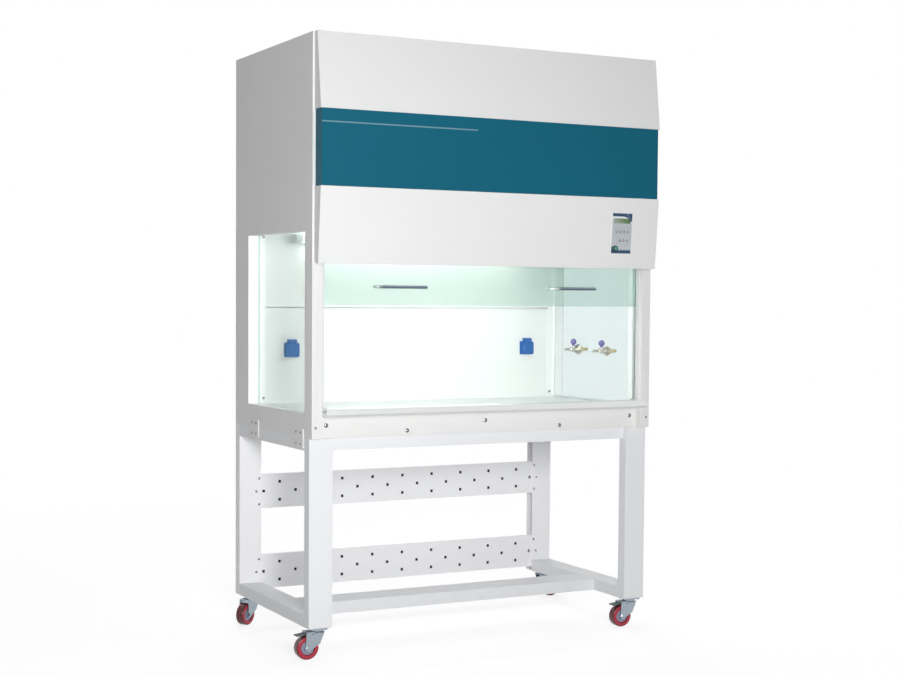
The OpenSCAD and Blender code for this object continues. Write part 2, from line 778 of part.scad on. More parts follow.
module control_panel() place() color([0.75, 0.77, 0.79]) on_facet() difference() {
  union() {
    linear_extrude(panel_t) round_rect(panel_w, panel_h, panel_corner);
    translate([0, 0, -panel_box_d]) linear_extrude(panel_box_d)
      square([panel_w - 12, panel_h - 12], center = true);
    for (row = key_rows, k = row) translate([k[0], k[1], panel_t])
      cylinder(d1 = key_d, d2 = key_d - 1.2, h = 0.5);
  }
  translate([display_at[0], display_at[1], panel_t - 1]) linear_extrude(2)
    square(display_size, center = true);
  translate([button_at[0], button_at[1], -button_body - button_travel])
    cylinder(d = button_d + 2 * button_gap, h = 40);
  translate([button_at[0], button_at[1], -button_body - 10]) cylinder(d = button_stem_d + 0.2, h = 20);
}

module power_button() place() color([0.07, 0.5, 0.47])
  on_facet() translate([button_at[0], button_at[1], 0]) {
    translate([0, 0, -button_body + 0.3])
      cylinder(d = button_d, h = button_body + panel_t + button_proud - 1.3);
    translate([0, 0, panel_t + button_proud - 1]) cylinder(d1 = button_d, d2 = button_d - 3, h = 1);
    translate([0, 0, -button_body - 8]) cylinder(d = button_stem_d, h = 10);
  }

// Sash
module sash_glass() place() color([0.7, 0.88, 0.8, 0.45])
  span_box([-sash_half, sash_in, sash_z], [sash_half, sash_in + glass_t, sash_z + sash_h]);

// A bar bent back to the glass at both ends
module handle() {
  bend = handle_d;
  reach = handle_off - bend;
  for (s = [-1, 1]) mirror([s < 0 ? 1 : 0, 0, 0]) {
    translate([handle_l / 2 - handle_d / 2, sash_in - reach, 0])
      rotate([-90, 0, 0]) cylinder(d = handle_d, h = reach);
    translate([handle_l / 2 - handle_d / 2 - bend, sash_in - reach, 0])
      rotate([180, 0, 0]) rotate_extrude(angle = 90) translate([bend, 0]) circle(d = handle_d);
    translate([0, sash_in - handle_off, 0]) rotate([0, 90, 0])
      cylinder(d = handle_d, h = handle_l / 2 - handle_d / 2 - bend);
  }
}

module sash_handles() place() color([0.72, 0.75, 0.8]) {
  both() translate([handle_x, 0, sash_z + handle_up]) handle();
  both() difference() {
    translate([cable_x - clamp_size[0] / 2, sash_in + glass_t, clamp_z - clamp_size[2] / 2])
      cube([clamp_size[0], shaft_in - pulley_r + 3 - sash_in - glass_t, clamp_size[2]]);
    translate([cable_x, shaft_in - pulley_r, clamp_z - clamp_size[2]])
      cylinder(d = cable_d + 1, h = 2 * clamp_size[2]);
  }
}

// Guides: channels for the glass that reach down through the worktop's notches, each with
// two bearing plates for the shafts
module sash_guides() place() color([0.75, 0.77, 0.78]) both() difference() {
  union() {
    span_box([guide_x, guide_y0, work_z - top_t], [in_w, guide_y1, shaft_high + bearing_h / 2]);
    for (z = [shaft_low, shaft_high])
      span_box([in_w - 3.5, guide_y1, z - bearing_h / 2], [in_w, bearing_y1, z + bearing_h / 2]);
  }
  span_box([guide_x - 1, sash_in - guide_gap, work_z - top_t - 1],
           [guide_x + guide_slot, sash_in + glass_t + guide_gap, shaft_high + bearing_h]);
  for (z = [shaft_low, shaft_high]) translate([in_w - wall_t, shaft_in, z])
    rotate([0, 90, 0]) cylinder(r = shaft_d / 2 + run_gap, h = wall_t + 1);
}

// A cross shaft with two grooved pulleys
module sash_shaft(z) place() color([0.6, 0.62, 0.65]) translate([0, shaft_in, z]) {
  along_x(2 * in_w - 2 * shaft_end) circle(d = shaft_d);
  both() translate([cable_x, 0, 0]) rotate([0, 90, 0]) rotate_extrude() difference() {
    translate([0, -pulley_w / 2]) square([flange_r, pulley_w]);
    translate([pulley_r - cable_d / 2 - 0.3, -cable_d / 2 - 0.5]) square([flange_r, cable_d + 1]);
  }
}

module sash_shaft_upper() sash_shaft(shaft_high);
module sash_shaft_lower() sash_shaft(shaft_low);

// Endless cables round both shafts
module cable_turn() rotate_extrude(angle = 180) translate([pulley_r, 0]) circle(d = cable_d);

module sash_cables() place() color([0.5, 0.5, 0.52]) both() translate([cable_x, shaft_in, 0]) {
  for (y = [-1, 1]) translate([0, y * pulley_r, shaft_low])
    cylinder(d = cable_d, h = shaft_high - shaft_low);
  translate([0, 0, shaft_high]) rotate([90, 0, 90]) cable_turn();
  translate([0, 0, shaft_low]) rotate([-90, 0, 90]) cable_turn();
}

module counterweights() place() color([0.25, 0.26, 0.28]) both() difference() {
  span_box([cable_x - weight_w / 2, shaft_in + pulley_r - weight_t / 2, weight_z],
           [cable_x + weight_w / 2, shaft_in + pulley_r + weight_t / 2, weight_z + weight_h]);
  translate([cable_x, shaft_in + pulley_r, weight_z - 1]) cylinder(d = cable_d + 1, h = weight_h + 2);
}

// Worktop: a stainless sheet with a hollow rounded rim in front
module rim_outline(off, drop) {
  r = lip_r - off;
  y0 = -lip_out + off;
  y1 = -lip_out + lip_d - off;
  z1 = work_z + lip_rise - off;
  for (y = [y0 + r, y1 - r]) translate([y, z1 - r]) circle(r);
  translate([y0 + r, work_z - top_t - drop]) square([y1 - y0 - 2 * r, z1 - work_z + top_t + drop]);
  translate([y0, work_z - top_t - drop]) square([y1 - y0, z1 - r - work_z + top_t + drop]);
}

module worktop() place() color([0.85, 0.86, 0.87]) difference() {
  along_x(2 * in_w - 2 * fit_gap) {
    difference() {
      rim_outline(0, 0);
      rim_outline(top_t, 5);
      translate([-lip_out - 1, work_z - 10]) square([lip_out, 10 + lip_rise - lip_flange]);
    }
    translate([lip_d - lip_out - top_t, work_z - top_t])
      square([rear_y - lip_d + lip_out + top_t, top_t]);
  }
  both() span_box([guide_x - fit_gap, guide_y0 - fit_gap, work_z - 2 * top_t],
                  [in_w, guide_y1 + fit_gap, work_z + 1]);
}

// Apron under the worktop
module apron() place() white() difference() {
  union() {
    span_box([-in_w + fit_gap, apron_in, cab_z], [in_w - fit_gap, apron_in + sheet, work_z - top_t]);
    span_box([-in_w + fit_gap, apron_in, work_z - top_t - sheet],
             [in_w - fit_gap, apron_in + apron_ledge, work_z - top_t]);
  }
  at_apron_screws() screw_hole(big_head);
}

// Closed pan under the worktop; its upright edges carry the worktop's sides and rear
module base_pan() place() white() difference() {
  union() {
    span_box([-in_w, apron_in + sheet, cab_z], [in_w, back_cover_y, cab_z + top_t]);
    both() span_box([in_w - top_t, apron_in + apron_ledge, cab_z], [in_w, rear_y, work_z - top_t]);
    span_box([-in_w, rear_y, cab_z], [in_w, rear_y + top_t, work_z - top_t]);
    span_box([-in_w + fit_gap, apron_in + sheet, cab_z],
             [in_w - fit_gap, apron_in + sheet + top_t, work_z - top_t - sheet]);
  }
  at_apron_screws() screw_hole(big_head);
}

// All the screws, each a solid of its own
module screws() place() color([0.6, 0.6, 0.6]) {
  at_apron_screws() screw(big_head);
  at_post_screws() screw(small_head);
  at_trim_screws() screw(small_head);
  at_joint_screws() screw(small_head);
  at_strip_screws() screw(small_head);
  at_back_screws() screw(back_head);
}

// Sockets on the rear wall: z points into the chamber
module at_socket(s) translate([s * socket_x, rear_y, socket_z]) rotate([90, 0, 0]) children();
module at_sockets() for (s = [-1, 1]) at_socket(s) children();
module at_socket_pin(l) translate([-l / 2, socket_pin_y, socket_pin_out]) rotate([0, 90, 0]) children();

// Cover frame of a socket with two ears, which hold the hinge pin
module socket_frame() {
  difference() {
    union() {
      linear_extrude(socket_t) round_rect(socket_w, socket_h, 4);
      for (x = [-1, 1]) translate([x * (socket_hinge_w - socket_ear_t) / 2, socket_pin_y, 0]) {
        translate([-socket_ear_t / 2, -socket_ear_r, 0])
          cube([socket_ear_t, 2 * socket_ear_r, socket_pin_out]);
        translate([-socket_ear_t / 2, 0, socket_pin_out]) rotate([0, 90, 0])
          cylinder(r = socket_ear_r, h = socket_ear_t);
        translate([-socket_ear_t / 2, -12, 0]) cube([socket_ear_t, 12, socket_t]);
      }
      translate([-socket_hinge_w / 2, socket_h / 2 - 4, 0])
        cube([socket_hinge_w, socket_pin_y + socket_ear_r - socket_h / 2 + 4, socket_t]);
    }
    translate([0, 0, -1]) cylinder(r = socket_barrel_r + socket_gap, h = socket_t + 2);
  }
  at_socket_pin(socket_hinge_w) cylinder(r = socket_pin_r, h = socket_hinge_w);
}

// Round insert of a socket, with the well for a plug and two contacts
module socket_insert() difference() {
  union() {
    translate([0, 0, -socket_barrel_l]) cylinder(r = socket_barrel_r, h = socket_barrel_l + socket_t);
    cylinder(r = socket_well_r + 1.7, h = socket_front);
  }
  translate([0, 0, -socket_well_d]) cylinder(r = socket_well_r, h = socket_well_d + socket_front + 1);
  for (x = [-1, 1]) translate([x * contact_pitch / 2, 0, -socket_well_d - 12]) cylinder(r = 2.6, h = 13);
}

module socket_bases() place() color([0.1, 0.3, 0.7]) at_sockets() {
  socket_frame();
  socket_insert();
}

// Sprung lid that hangs from the pin
module socket_lid(s) place() color([0.12, 0.35, 0.75]) at_socket(s) difference() {
  union() {
    translate([0, -1, socket_lid_z]) linear_extrude(3) round_rect(socket_w - 4, socket_h - 4, 6);
    translate([0, -1, socket_lid_z + 3]) cylinder(r1 = 19, r2 = 16, h = 2);
    at_socket_pin(lid_knuckle_w) cylinder(r = 4, h = lid_knuckle_w);
    translate([-10, socket_h / 2 - 6, socket_lid_z]) cube([20, socket_pin_y - socket_h / 2 + 6, 3]);
  }
  at_socket_pin(socket_hinge_w + 2) cylinder(r = socket_pin_r + run_gap, h = socket_hinge_w + 2);
}

module socket_lid_left() socket_lid(-1);
module socket_lid_right() socket_lid(1);

// Taps on the right window: z points into the chamber, y up
module at_tap(y) translate([tap_x, y, tap_z]) rotate([90, 0, -90]) children();
module at_taps() for (y = [tap_front, tap_front + tap_pitch]) at_tap(y) children();

module tap() {
  cylinder(d = tap_flange_d, h = 4);
  translate([0, 0, 4]) cylinder(d = 30, h = 8, $fn = 6);
  translate([0, 0, 12]) cylinder(r = tap_body_r, h = 22);
  translate([0, 0, 34]) cylinder(r1 = tap_body_r, r2 = 6, h = 4);
  translate([0, 0, 38]) cylinder(r = nozzle_r, h = tap_l - 40);
  translate([0, 0, tap_l - 8]) cylinder(r1 = nozzle_r, r2 = nozzle_r + 0.8, h = 4);
  translate([0, 0, tap_l - 4]) cylinder(r1 = nozzle_r + 0.8, r2 = nozzle_r - 0.8, h = 4);
  translate([0, 0, stem_at]) rotate([-90, 0, 0]) {
    cylinder(r = 6.5, h = knob_z0 - 0.3);
    cylinder(r = stem_r, h = knob_z0 + knob_h - 6);
  }
  translate([0, 0, -glass_t - 1]) cylinder(r = tap_hole_r - 0.2, h = glass_t + 2);
  translate([0, 0, -glass_t - 7]) cylinder(d = 26, h = 7, $fn = 6);
  translate([0, 0, -glass_t - wall_t + 2]) cylinder(r = 5, h = wall_t - 2);
  for (i = [0:3]) translate([0, 0, -glass_t - wall_t + 3 + 5 * i]) cylinder(r1 = 5.2, r2 = 6.2, h = 4);
}

module gas_taps() place() color([0.7, 0.7, 0.66]) at_taps() tap();

// Half of an egg that stands on its thick end: two circles and the lines that touch both
module half_egg(r1, r2, h) intersection() {
  a = asin((r1 - r2) / (h - r1 - r2));
  union() {
    translate([0, r1]) circle(r1);
    translate([0, h - r2]) circle(r2);
    polygon([[0, r1], [r1 * cos(a), r1 + r1 * sin(a)], [r2 * cos(a), h - r2 + r2 * sin(a)], [0, h - r2]]);
  }
  translate([0, 1]) square([2 * r1, h]);
}

module tap_knob(y) place() color([0.4, 0.36, 0.75]) at_tap(y)
  translate([0, 0, stem_at]) rotate([-90, 0, 0]) rotate_extrude() difference() {
    translate([0, knob_z0 - 1]) half_egg(knob_d / 2, knob_tip_r, knob_h + 1);
    square([stem_r + run_gap, knob_z0 + knob_h - 5.5]);
  }

module tap_knob_front() tap_knob(tap_front);
module tap_knob_rear() tap_knob(tap_front + tap_pitch);

// Power inlet in the lower back cover
inlet_x = -in_w + 90;
inlet_up = 45;

module at_inlet() translate([inlet_x, cab_d - back_in, cab_z + inlet_up]) rotate([90, 0, 180]) children();

module inlet_body(gap) translate([0, 0, -24]) linear_extrude(30)
  square([27 + 2 * gap, 20 + 2 * gap], center = true);

module power_inlet() place() color([0.12, 0.12, 0.13]) at_inlet() difference() {
  union() {
    linear_extrude(back_in - 0.2) round_rect(50, 24, 5);
    translate([0, 0, -24]) linear_extrude(24) square([27, 20], center = true);
  }
  translate([0, 0, -16]) linear_extrude(30) square([23, 15], center = true);
}

// Front legs: closed rectangular tubes
module front_legs() place() white() both() difference() {
  span_box([leg_x, leg_in, caster_h], [half_w, leg_in + leg_d, cab_z]);
  span_box([leg_x + tube_t, leg_in + tube_t, caster_h + tube_t],
           [half_w - tube_t, leg_in + leg_d - tube_t, cab_z - tube_t]);
}

// Back legs: channels open towards the middle, which take the strips' ends
module back_legs() place() white() both() difference() {
  span_box([leg_x, back_leg_y, caster_h], [half_w, cab_d, cab_z]);
  span_box([leg_x - 1, back_leg_y + tube_t, caster_h + tube_t],
           [half_w - tube_t, cab_d - tube_t, cab_z - tube_t]);
  at_strip_screws() screw_hole(small_head);
}

module hollow_tube(a, b, dir) difference() {
  span_box(a, b);
  span_box([for (i = [0:2]) i == dir ? a[i] - 1 : a[i] + tube_t],
           [for (i = [0:2]) i == dir ? b[i] + 1 : b[i] - tube_t]);
}

// Top rails: two along the sides, a beam in front and one at the rear
module top_rails() place() white() {
  both() difference() {
    hollow_tube([half_w - rail_h, rail_y0, cab_z - rail_h], [half_w, back_leg_y, cab_z], 1);
    at_joint_screws() screw_hole(small_head);
  }
  hollow_tube([-leg_x, rail_y0 - beam_d, cab_z - rail_h], [leg_x, rail_y0, cab_z], 0);
  hollow_tube([-half_w + rail_h, back_leg_y - beam_d, cab_z - rail_h],
              [half_w - rail_h, back_leg_y, cab_z], 0);
}

module bottom_rails() place() white() both() difference() {
  hollow_tube([leg_x, rail_y0, caster_h], [half_w, back_leg_y, caster_h + rail_h], 1);
}

module cross_rail() place() white()
  hollow_tube([-leg_x, cross_in, caster_h], [leg_x, cross_in + cross_w, caster_h + rail_h], 0);

// Perforated strips, folded into a flat box: rows of two square holes and one in turn
peg_columns = floor((leg_x - peg) / peg_pitch);

module strip(z) translate([0, strip_y, caster_h + z]) difference() {
  union() {
    span_box([-leg_x - strip_end, 0, -strip_h / 2], [leg_x + strip_end, sheet, strip_h / 2]);
    difference() {
      span_box([-leg_x + 3, 0, -strip_h / 2], [leg_x - 3, fold_w, strip_h / 2]);
      span_box([-leg_x + 2, sheet, -strip_h / 2 + sheet], [leg_x - 2, fold_w - sheet, strip_h / 2 - sheet]);
    }
  }
  for (i = [-peg_columns:peg_columns], dz = i % 2 == 0 ? [-peg_rise, peg_rise] : [0])
    translate([i * peg_pitch - peg / 2, -1, dz - peg / 2]) cube([peg, sheet + 2, peg]);
}

module perforated_strips() place() color([0.78, 0.79, 0.8]) difference() {
  for (z = [strip_high, strip_low]) strip(z);
  at_strip_screws() screw_hole(small_head);
}

module joint_plates() place() white() both() difference() {
  for (y = joint_ys) translate([half_w, y, joint_z]) rotate([90, 0, 90]) linear_extrude(joint_t)
    round_rect(joint_w, joint_h, 3);
  at_joint_screws() screw_hole(small_head);
}

// Casters: [x, y, direction in which the wheel trails]
casters = [
  [-half_w + caster_in, caster_front, 180], [half_w - caster_in, caster_front, 180],
  [-half_w + caster_in, caster_back, 215], [half_w - caster_in, caster_back, 0]
];
// A caster is drawn with its wheel towards -X
module at_caster(i) place()
  translate([casters[i][0], casters[i][1], 0]) rotate(casters[i][2] - 180) children();

module caster_plates() color([0.75, 0.77, 0.8]) for (i = [0:3]) at_caster(i) {
  rotate(180 - casters[i][2]) translate([0, 0, caster_h - 3])
    linear_extrude(3) round_rect(caster_plate, caster_plate, 6);
  translate([0, 0, caster_h - 3 - race_h]) cylinder(r = race_r, h = race_h);
  translate([0, 0, fork_top - 12]) cylinder(r = kingpin_r, h = 16);
  translate([0, 0, fork_top - 14]) cylinder(r = 8.5, h = 6, $fn = 6);
  rotate(180 - casters[i][2]) for (x = [-1, 1], y = [-1, 1])
    translate([x * (caster_plate / 2 - 8), y * (caster_plate / 2 - 8), caster_h - 7])
      cylinder(d = 10, h = 4, $fn = 6);
}

// Pressed fork: a domed head, two cheeks that lean back, and the axle bolt
module caster_fork(i) color([0.6, 0.66, 0.7]) at_caster(i) {
  inner = caster_w / 2 + fork_gap;
  difference() {
    union() {
      translate([0, 0, fork_top - 5]) cylinder(r1 = race_r + 3, r2 = race_r - 1, h = 5);
      translate([-caster_trail - 6, -inner - fork_t, fork_top - 4])
        cube([caster_trail + 26, 2 * (inner + fork_t), 3]);
      for (s = [-1, 1]) translate([0, s * (inner + fork_t / 2) + fork_t / 2, 0]) rotate([90, 0, 0])
        linear_extrude(fork_t) fork_cheek();
    }
    translate([0, 0, fork_top - 10]) cylinder(r = kingpin_r + run_gap, h = 12);
    translate([pedal_at[0], 0, pedal_at[1]]) rotate([90, 0, 0])
      cylinder(r = pedal_pin_r + run_gap, h = 60, center = true);
  }
  translate([-caster_trail, 0, caster_d / 2]) rotate([90, 0, 0]) {
    cylinder(r = axle_r, h = 2 * inner + 2 * fork_t + 8, center = true);
    for (s = [-1, 1]) translate([0, 0, s * (inner + fork_t + 2) - 2]) cylinder(d = 13, h = 4, $fn = 6);
    for (s = [-1, 1]) translate([0, 0, s * (inner - 0.5) - 0.5]) cylinder(r = 7, h = 1);
  }
}

module fork_cheek() {
  polygon([[20, fork_top - 1], [-caster_trail - 6, fork_top - 1], [-caster_trail - 10, caster_d / 2],
           [-caster_trail + 6, caster_d / 2 - 7], [3, caster_d / 2 + 12]]);
  translate([-caster_trail, caster_d / 2]) circle(10);
}

module caster_fork_fl() caster_fork(0);
module caster_fork_fr() caster_fork(1);
module caster_fork_bl() caster_fork(2);
module caster_fork_br() caster_fork(3);

// Wheel: a crowned tread on a hub with a dished side
module caster_wheel(i) color([0.75, 0.12, 0.1]) at_caster(i)
  translate([-caster_trail, 0, caster_d / 2]) rotate([90, 0, 0]) rotate_extrude() difference() {
    union() {
      translate([axle_r + run_gap, -caster_w / 2]) square([9, caster_w]);
      translate([axle_r + run_gap, -caster_w / 2 + 4]) square([caster_d / 2 - 12, caster_w - 8]);
      translate([caster_d / 2 - 14, -caster_w / 2 + 1]) square([10, caster_w - 2]);
      translate([caster_d / 2 - 10, -caster_w / 2 + 5]) square([10, caster_w - 10]);
      for (s = [-1, 1]) translate([caster_d / 2 - 5, s * (caster_w / 2 - 6)]) circle(5);
    }
  }

module caster_wheel_fl() caster_wheel(0);
module caster_wheel_fr() caster_wheel(1);
module caster_wheel_bl() caster_wheel(2);
module caster_wheel_br() caster_wheel(3);

// Brake pedal on a pin between the fork's cheeks
module brake_pedal(i) color([0.3, 0.32, 0.34]) at_caster(i) {
  pedal_w = caster_w - 4;
  translate([pedal_at[0], 0, pedal_at[1]]) rotate([90, 0, 0]) {
    cylinder(r = pedal_pin_r, h = caster_w + 2 * fork_gap + 2 * fork_t, center = true);
  }
  translate([pedal_at[0], pedal_w / 2, pedal_at[1]]) rotate([90, 0, 0]) linear_extrude(pedal_w)
    polygon([[2, 2], [-20, 2], [-53, -2], [-53, -5.5], [-20, -2], [2, -2]]);
}

module brake_pedal_fl() brake_pedal(0);
module brake_pedal_fr() brake_pedal(1);

side_panel_left();
side_panel_right();
side_frame_left();
side_frame_right();
front_posts();
side_windows();
window_trims();
rear_wall();
back_panel();
top_panel();
prefilter();
blower_housing();
impeller();
blower_motor();
plenum_box();
hepa_filter();
diffuser();
lamp_tubes();
lamp_fittings();
hood_upper();
hood_band();
hood_lower();
control_panel();
power_button();
sash_glass();
sash_handles();
sash_guides();
counterweights();
sash_shaft_upper();
sash_shaft_lower();
sash_cables();
worktop();
apron();
screws();
base_pan();
socket_bases();
socket_lid_left();
socket_lid_right();
gas_taps();
tap_knob_front();
tap_knob_rear();
power_inlet();
front_legs();
back_legs();
top_rails();
bottom_rails();
cross_rail();
perforated_strips();
joint_plates();
caster_plates();
caster_fork_fl();
caster_fork_fr();
caster_fork_bl();
caster_fork_br();
caster_wheel_fl();
caster_wheel_fr();
caster_wheel_bl();
caster_wheel_br();
brake_pedal_fl();
brake_pedal_fr();
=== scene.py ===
# %% [markdown]
# A laminar flow cabinet on a wheeled stand, dressed in Blender.
# The CAD solids come in as the frame. They keep their places, and this lesson adds what CAD
# leaves out: finishes, small rounded edges, the keypad's print, screw recesses, slimmer trims,
# rounder tap knobs, a display glass and light.

# %% The frame
import math

import bpy
from mathutils import Matrix, Vector


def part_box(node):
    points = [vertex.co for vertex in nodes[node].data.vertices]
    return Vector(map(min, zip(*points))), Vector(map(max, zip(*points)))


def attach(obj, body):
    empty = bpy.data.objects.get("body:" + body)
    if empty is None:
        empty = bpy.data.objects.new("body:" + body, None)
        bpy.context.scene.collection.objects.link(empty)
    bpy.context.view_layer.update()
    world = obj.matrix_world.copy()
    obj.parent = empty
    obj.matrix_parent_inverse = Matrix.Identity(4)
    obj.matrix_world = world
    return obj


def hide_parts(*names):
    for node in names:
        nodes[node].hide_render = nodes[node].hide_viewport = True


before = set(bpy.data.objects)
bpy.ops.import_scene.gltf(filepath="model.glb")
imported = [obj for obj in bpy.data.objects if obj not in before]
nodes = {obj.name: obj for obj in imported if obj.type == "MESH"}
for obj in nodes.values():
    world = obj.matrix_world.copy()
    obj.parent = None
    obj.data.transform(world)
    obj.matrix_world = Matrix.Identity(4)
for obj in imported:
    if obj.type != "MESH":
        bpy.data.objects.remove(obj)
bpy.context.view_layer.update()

# %% [markdown]
# ## Camera
# The photograph was matched by fitting a camera to two dozen corners of the cabinet. Its
# place, its three axes and its focal length go straight into the matrix and the lens, which
# keeps the tilt and the slight roll that Euler angles would make hard to read.

# %% Camera
CAMERA_AT = Vector((-2.48695, -4.86236, 1.14596))
CAMERA_RIGHT = Vector((0.888744, -0.458345, 0.007385))
CAMERA_UP = Vector((0.0158, 0.04673, 0.998783))
CAMERA_BACK = Vector((-0.458132, -0.887545, 0.048773))
CAMERA_LENS = 63.045
CAMERA_SHIFT = (-0.00114, 0.04067)
camera_data = bpy.data.cameras.new("camera")
camera = bpy.data.objects.new("camera", camera_data)
bpy.context.scene.collection.objects.link(camera)
turn = Matrix((CAMERA_RIGHT, CAMERA_UP, CAMERA_BACK)).transposed().to_4x4()
camera.matrix_world = Matrix.Translation(CAMERA_AT) @ turn
camera_data.sensor_width = 36
camera_data.lens = CAMERA_LENS
camera_data.shift_x, camera_data.shift_y = CAMERA_SHIFT
bpy.context.scene.camera = camera
print("camera lens", camera_data.lens, "mm")

# %% [markdown]
# ## Light and floor
# The photograph was lit by a flash beside the camera: the left side of each front is brighter
# than its right, and the cabinet's own left wall gets little. One small area lamp near the
# camera gives that, a low world level fills the shade, and the lamps in the hood light the
# chamber. Two soft lamps behind and to the right serve the views from there. The white that
# the camera sees is painted by Light Path alone, so it adds nothing.

# %% World and lamps
view = bpy.context.scene.view_settings
view.view_transform = "Standard"


def seen_directly(tree):
    """1 where the camera, metal or glass looks at a surface, 0 where it only lights others."""
    path = tree.nodes.new("ShaderNodeLightPath")
    seen = path.outputs["Is Camera Ray"]
    for other in ("Is Glossy Ray", "Is Transmission Ray"):
        add = tree.nodes.new("ShaderNodeMath")
        add.operation = "MAXIMUM"
        tree.links.new(seen, add.inputs[0])
        tree.links.new(path.outputs[other], add.inputs[1])
        seen = add.outputs[0]
    return seen


def mix_shaders(tree, share, first, second):
    """The first shader where share is 0, the second where it is 1."""
    mix = tree.nodes.new("ShaderNodeMixShader")
    if isinstance(share, float):
        mix.inputs[0].default_value = share
    else:
        tree.links.new(share, mix.inputs[0])
    tree.links.new(first, mix.inputs[1])
    tree.links.new(second, mix.inputs[2])
    return mix.outputs[0]


WORLD_LEVEL = 0.155
WORLD_TINT = (0.96, 0.98, 1.0, 1)
world = bpy.data.worlds.new("studio")
bpy.context.scene.world = world
world.use_nodes = True
tree = world.node_tree
tree.nodes.clear()
even = tree.nodes.new("ShaderNodeBackground")
even.inputs["Color"].default_value = WORLD_TINT
even.inputs["Strength"].default_value = WORLD_LEVEL
white = tree.nodes.new("ShaderNodeBackground")
white.inputs["Color"].default_value = (1, 1, 1, 1)
output = tree.nodes.new("ShaderNodeOutputWorld")
surroundings = mix_shaders(tree, seen_directly(tree), even.outputs[0], white.outputs[0])
tree.links.new(surroundings, output.inputs["Surface"])


def area_lamp(name, at, aim, size, power):
    """A rectangular lamp at a point, aimed at another, with its power in watts."""
    data = bpy.data.lights.new(name, "AREA")
    data.shape = "RECTANGLE"
    data.size, data.size_y = size
    data.energy = power
    lamp = bpy.data.objects.new(name, data)
    bpy.context.scene.collection.objects.link(lamp)
    lamp.location = at
    lamp.rotation_mode = "QUATERNION"
    lamp.rotation_quaternion = (Vector(aim) - Vector(at)).to_track_quat("-Z", "Y")


LAMPS = [
    ("flash", (-1.6, -3.9, 1.35), (-0.1, 0, 1.1), (1.1, 1.1), 116),
    ("rear_soft", (0.6, 3.5, 3.9), (0, 0.2, 1.2), (3.0, 2.0), 75),
    ("right_soft", (4.6, 0.9, 1.7), (0.6, 0, 1.0), (2.6, 2.0), 55),
]
for lamp in LAMPS:
    area_lamp(*lamp)
print("world level", WORLD_LEVEL, "lamps", [lamp[0] for lamp in LAMPS])

# %% [markdown]
# The floor has to vanish into the white background yet keep the cabinet's shadow. Near the
# cabinet the camera sees half lit floor and half glow, and by 3.7 m out it sees glow alone.

# %% Floor
FLOOR_WIDTH = 60
FLOOR_GREY = (0.80, 0.80, 0.80, 1)
FLOOR_GLOW = 1.52
FADE_FROM, FADE_TO = 1.2, 3.7
bpy.ops.mesh.primitive_plane_add(size=FLOOR_WIDTH, location=(0, 0, 0))
floor = bpy.context.object
floor.name = "floor"
floor_paint = bpy.data.materials.new("floor_paint")
floor_paint.use_nodes = True
tree = floor_paint.node_tree
tree.nodes.clear()
matt = tree.nodes.new("ShaderNodeBsdfDiffuse")
matt.inputs["Color"].default_value = FLOOR_GREY
near_glow = tree.nodes.new("ShaderNodeEmission")
near_glow.inputs["Strength"].default_value = FLOOR_GLOW
far_glow = tree.nodes.new("ShaderNodeEmission")
place = tree.nodes.new("ShaderNodeTexCoord")
reach = tree.nodes.new("ShaderNodeVectorMath")
reach.operation = "LENGTH"
tree.links.new(place.outputs["Object"], reach.inputs[0])
fade = tree.nodes.new("ShaderNodeMapRange")
fade.inputs["From Min"].default_value = FADE_FROM
fade.inputs["From Max"].default_value = FADE_TO
tree.links.new(reach.outputs["Value"], fade.inputs["Value"])
near = mix_shaders(tree, 0.5, matt.outputs[0], near_glow.outputs[0])
shown = mix_shaders(tree, fade.outputs[0], near, far_glow.outputs[0])
whole = mix_shaders(tree, seen_directly(tree), matt.outputs[0], shown)
output = tree.nodes.new("ShaderNodeOutputMaterial")
tree.links.new(whole, output.inputs["Surface"])
floor.data.materials.append(floor_paint)
print("floor", floor.dimensions[:])

# %% [markdown]
# ## A small language for materials
# Every finish here is a few lines of shader maths. A thin wrapper round a socket lets those
# lines read like arithmetic: `noise * 0.2 + 0.9` adds the Math nodes by itself. Lengths are
# in metres, in the frame in which the cabinet stands.

# %% Shader maths


class Val:
    """A shader socket that can be added, subtracted, multiplied, divided and compared."""

    def __init__(self, finish, socket):
        self.finish, self.socket = finish, socket

    def _math(self, kind, a, b):
        return self.finish.node("ShaderNodeMath", {"operation": kind}, {0: a, 1: b})

    def __add__(self, other): return self._math("ADD", self, other)
    def __sub__(self, other): return self._math("SUBTRACT", self, other)
    def __rsub__(self, other): return self._math("SUBTRACT", other, self)
    def __mul__(self, other): return self._math("MULTIPLY", self, other)
    def __truediv__(self, other): return self._math("DIVIDE", self, other)
    def __gt__(self, other): return self._math("GREATER_THAN", self, other)
    def __lt__(self, other): return self._math("LESS_THAN", self, other)
    def low(self, other): return self._math("MINIMUM", self, other)
    def high(self, other): return self._math("MAXIMUM", self, other)
    def power(self, other): return self._math("POWER", self, other)
    def absolute(self): return self._math("ABSOLUTE", self, 0)
    def clamped(self): return self.low(1).high(0)


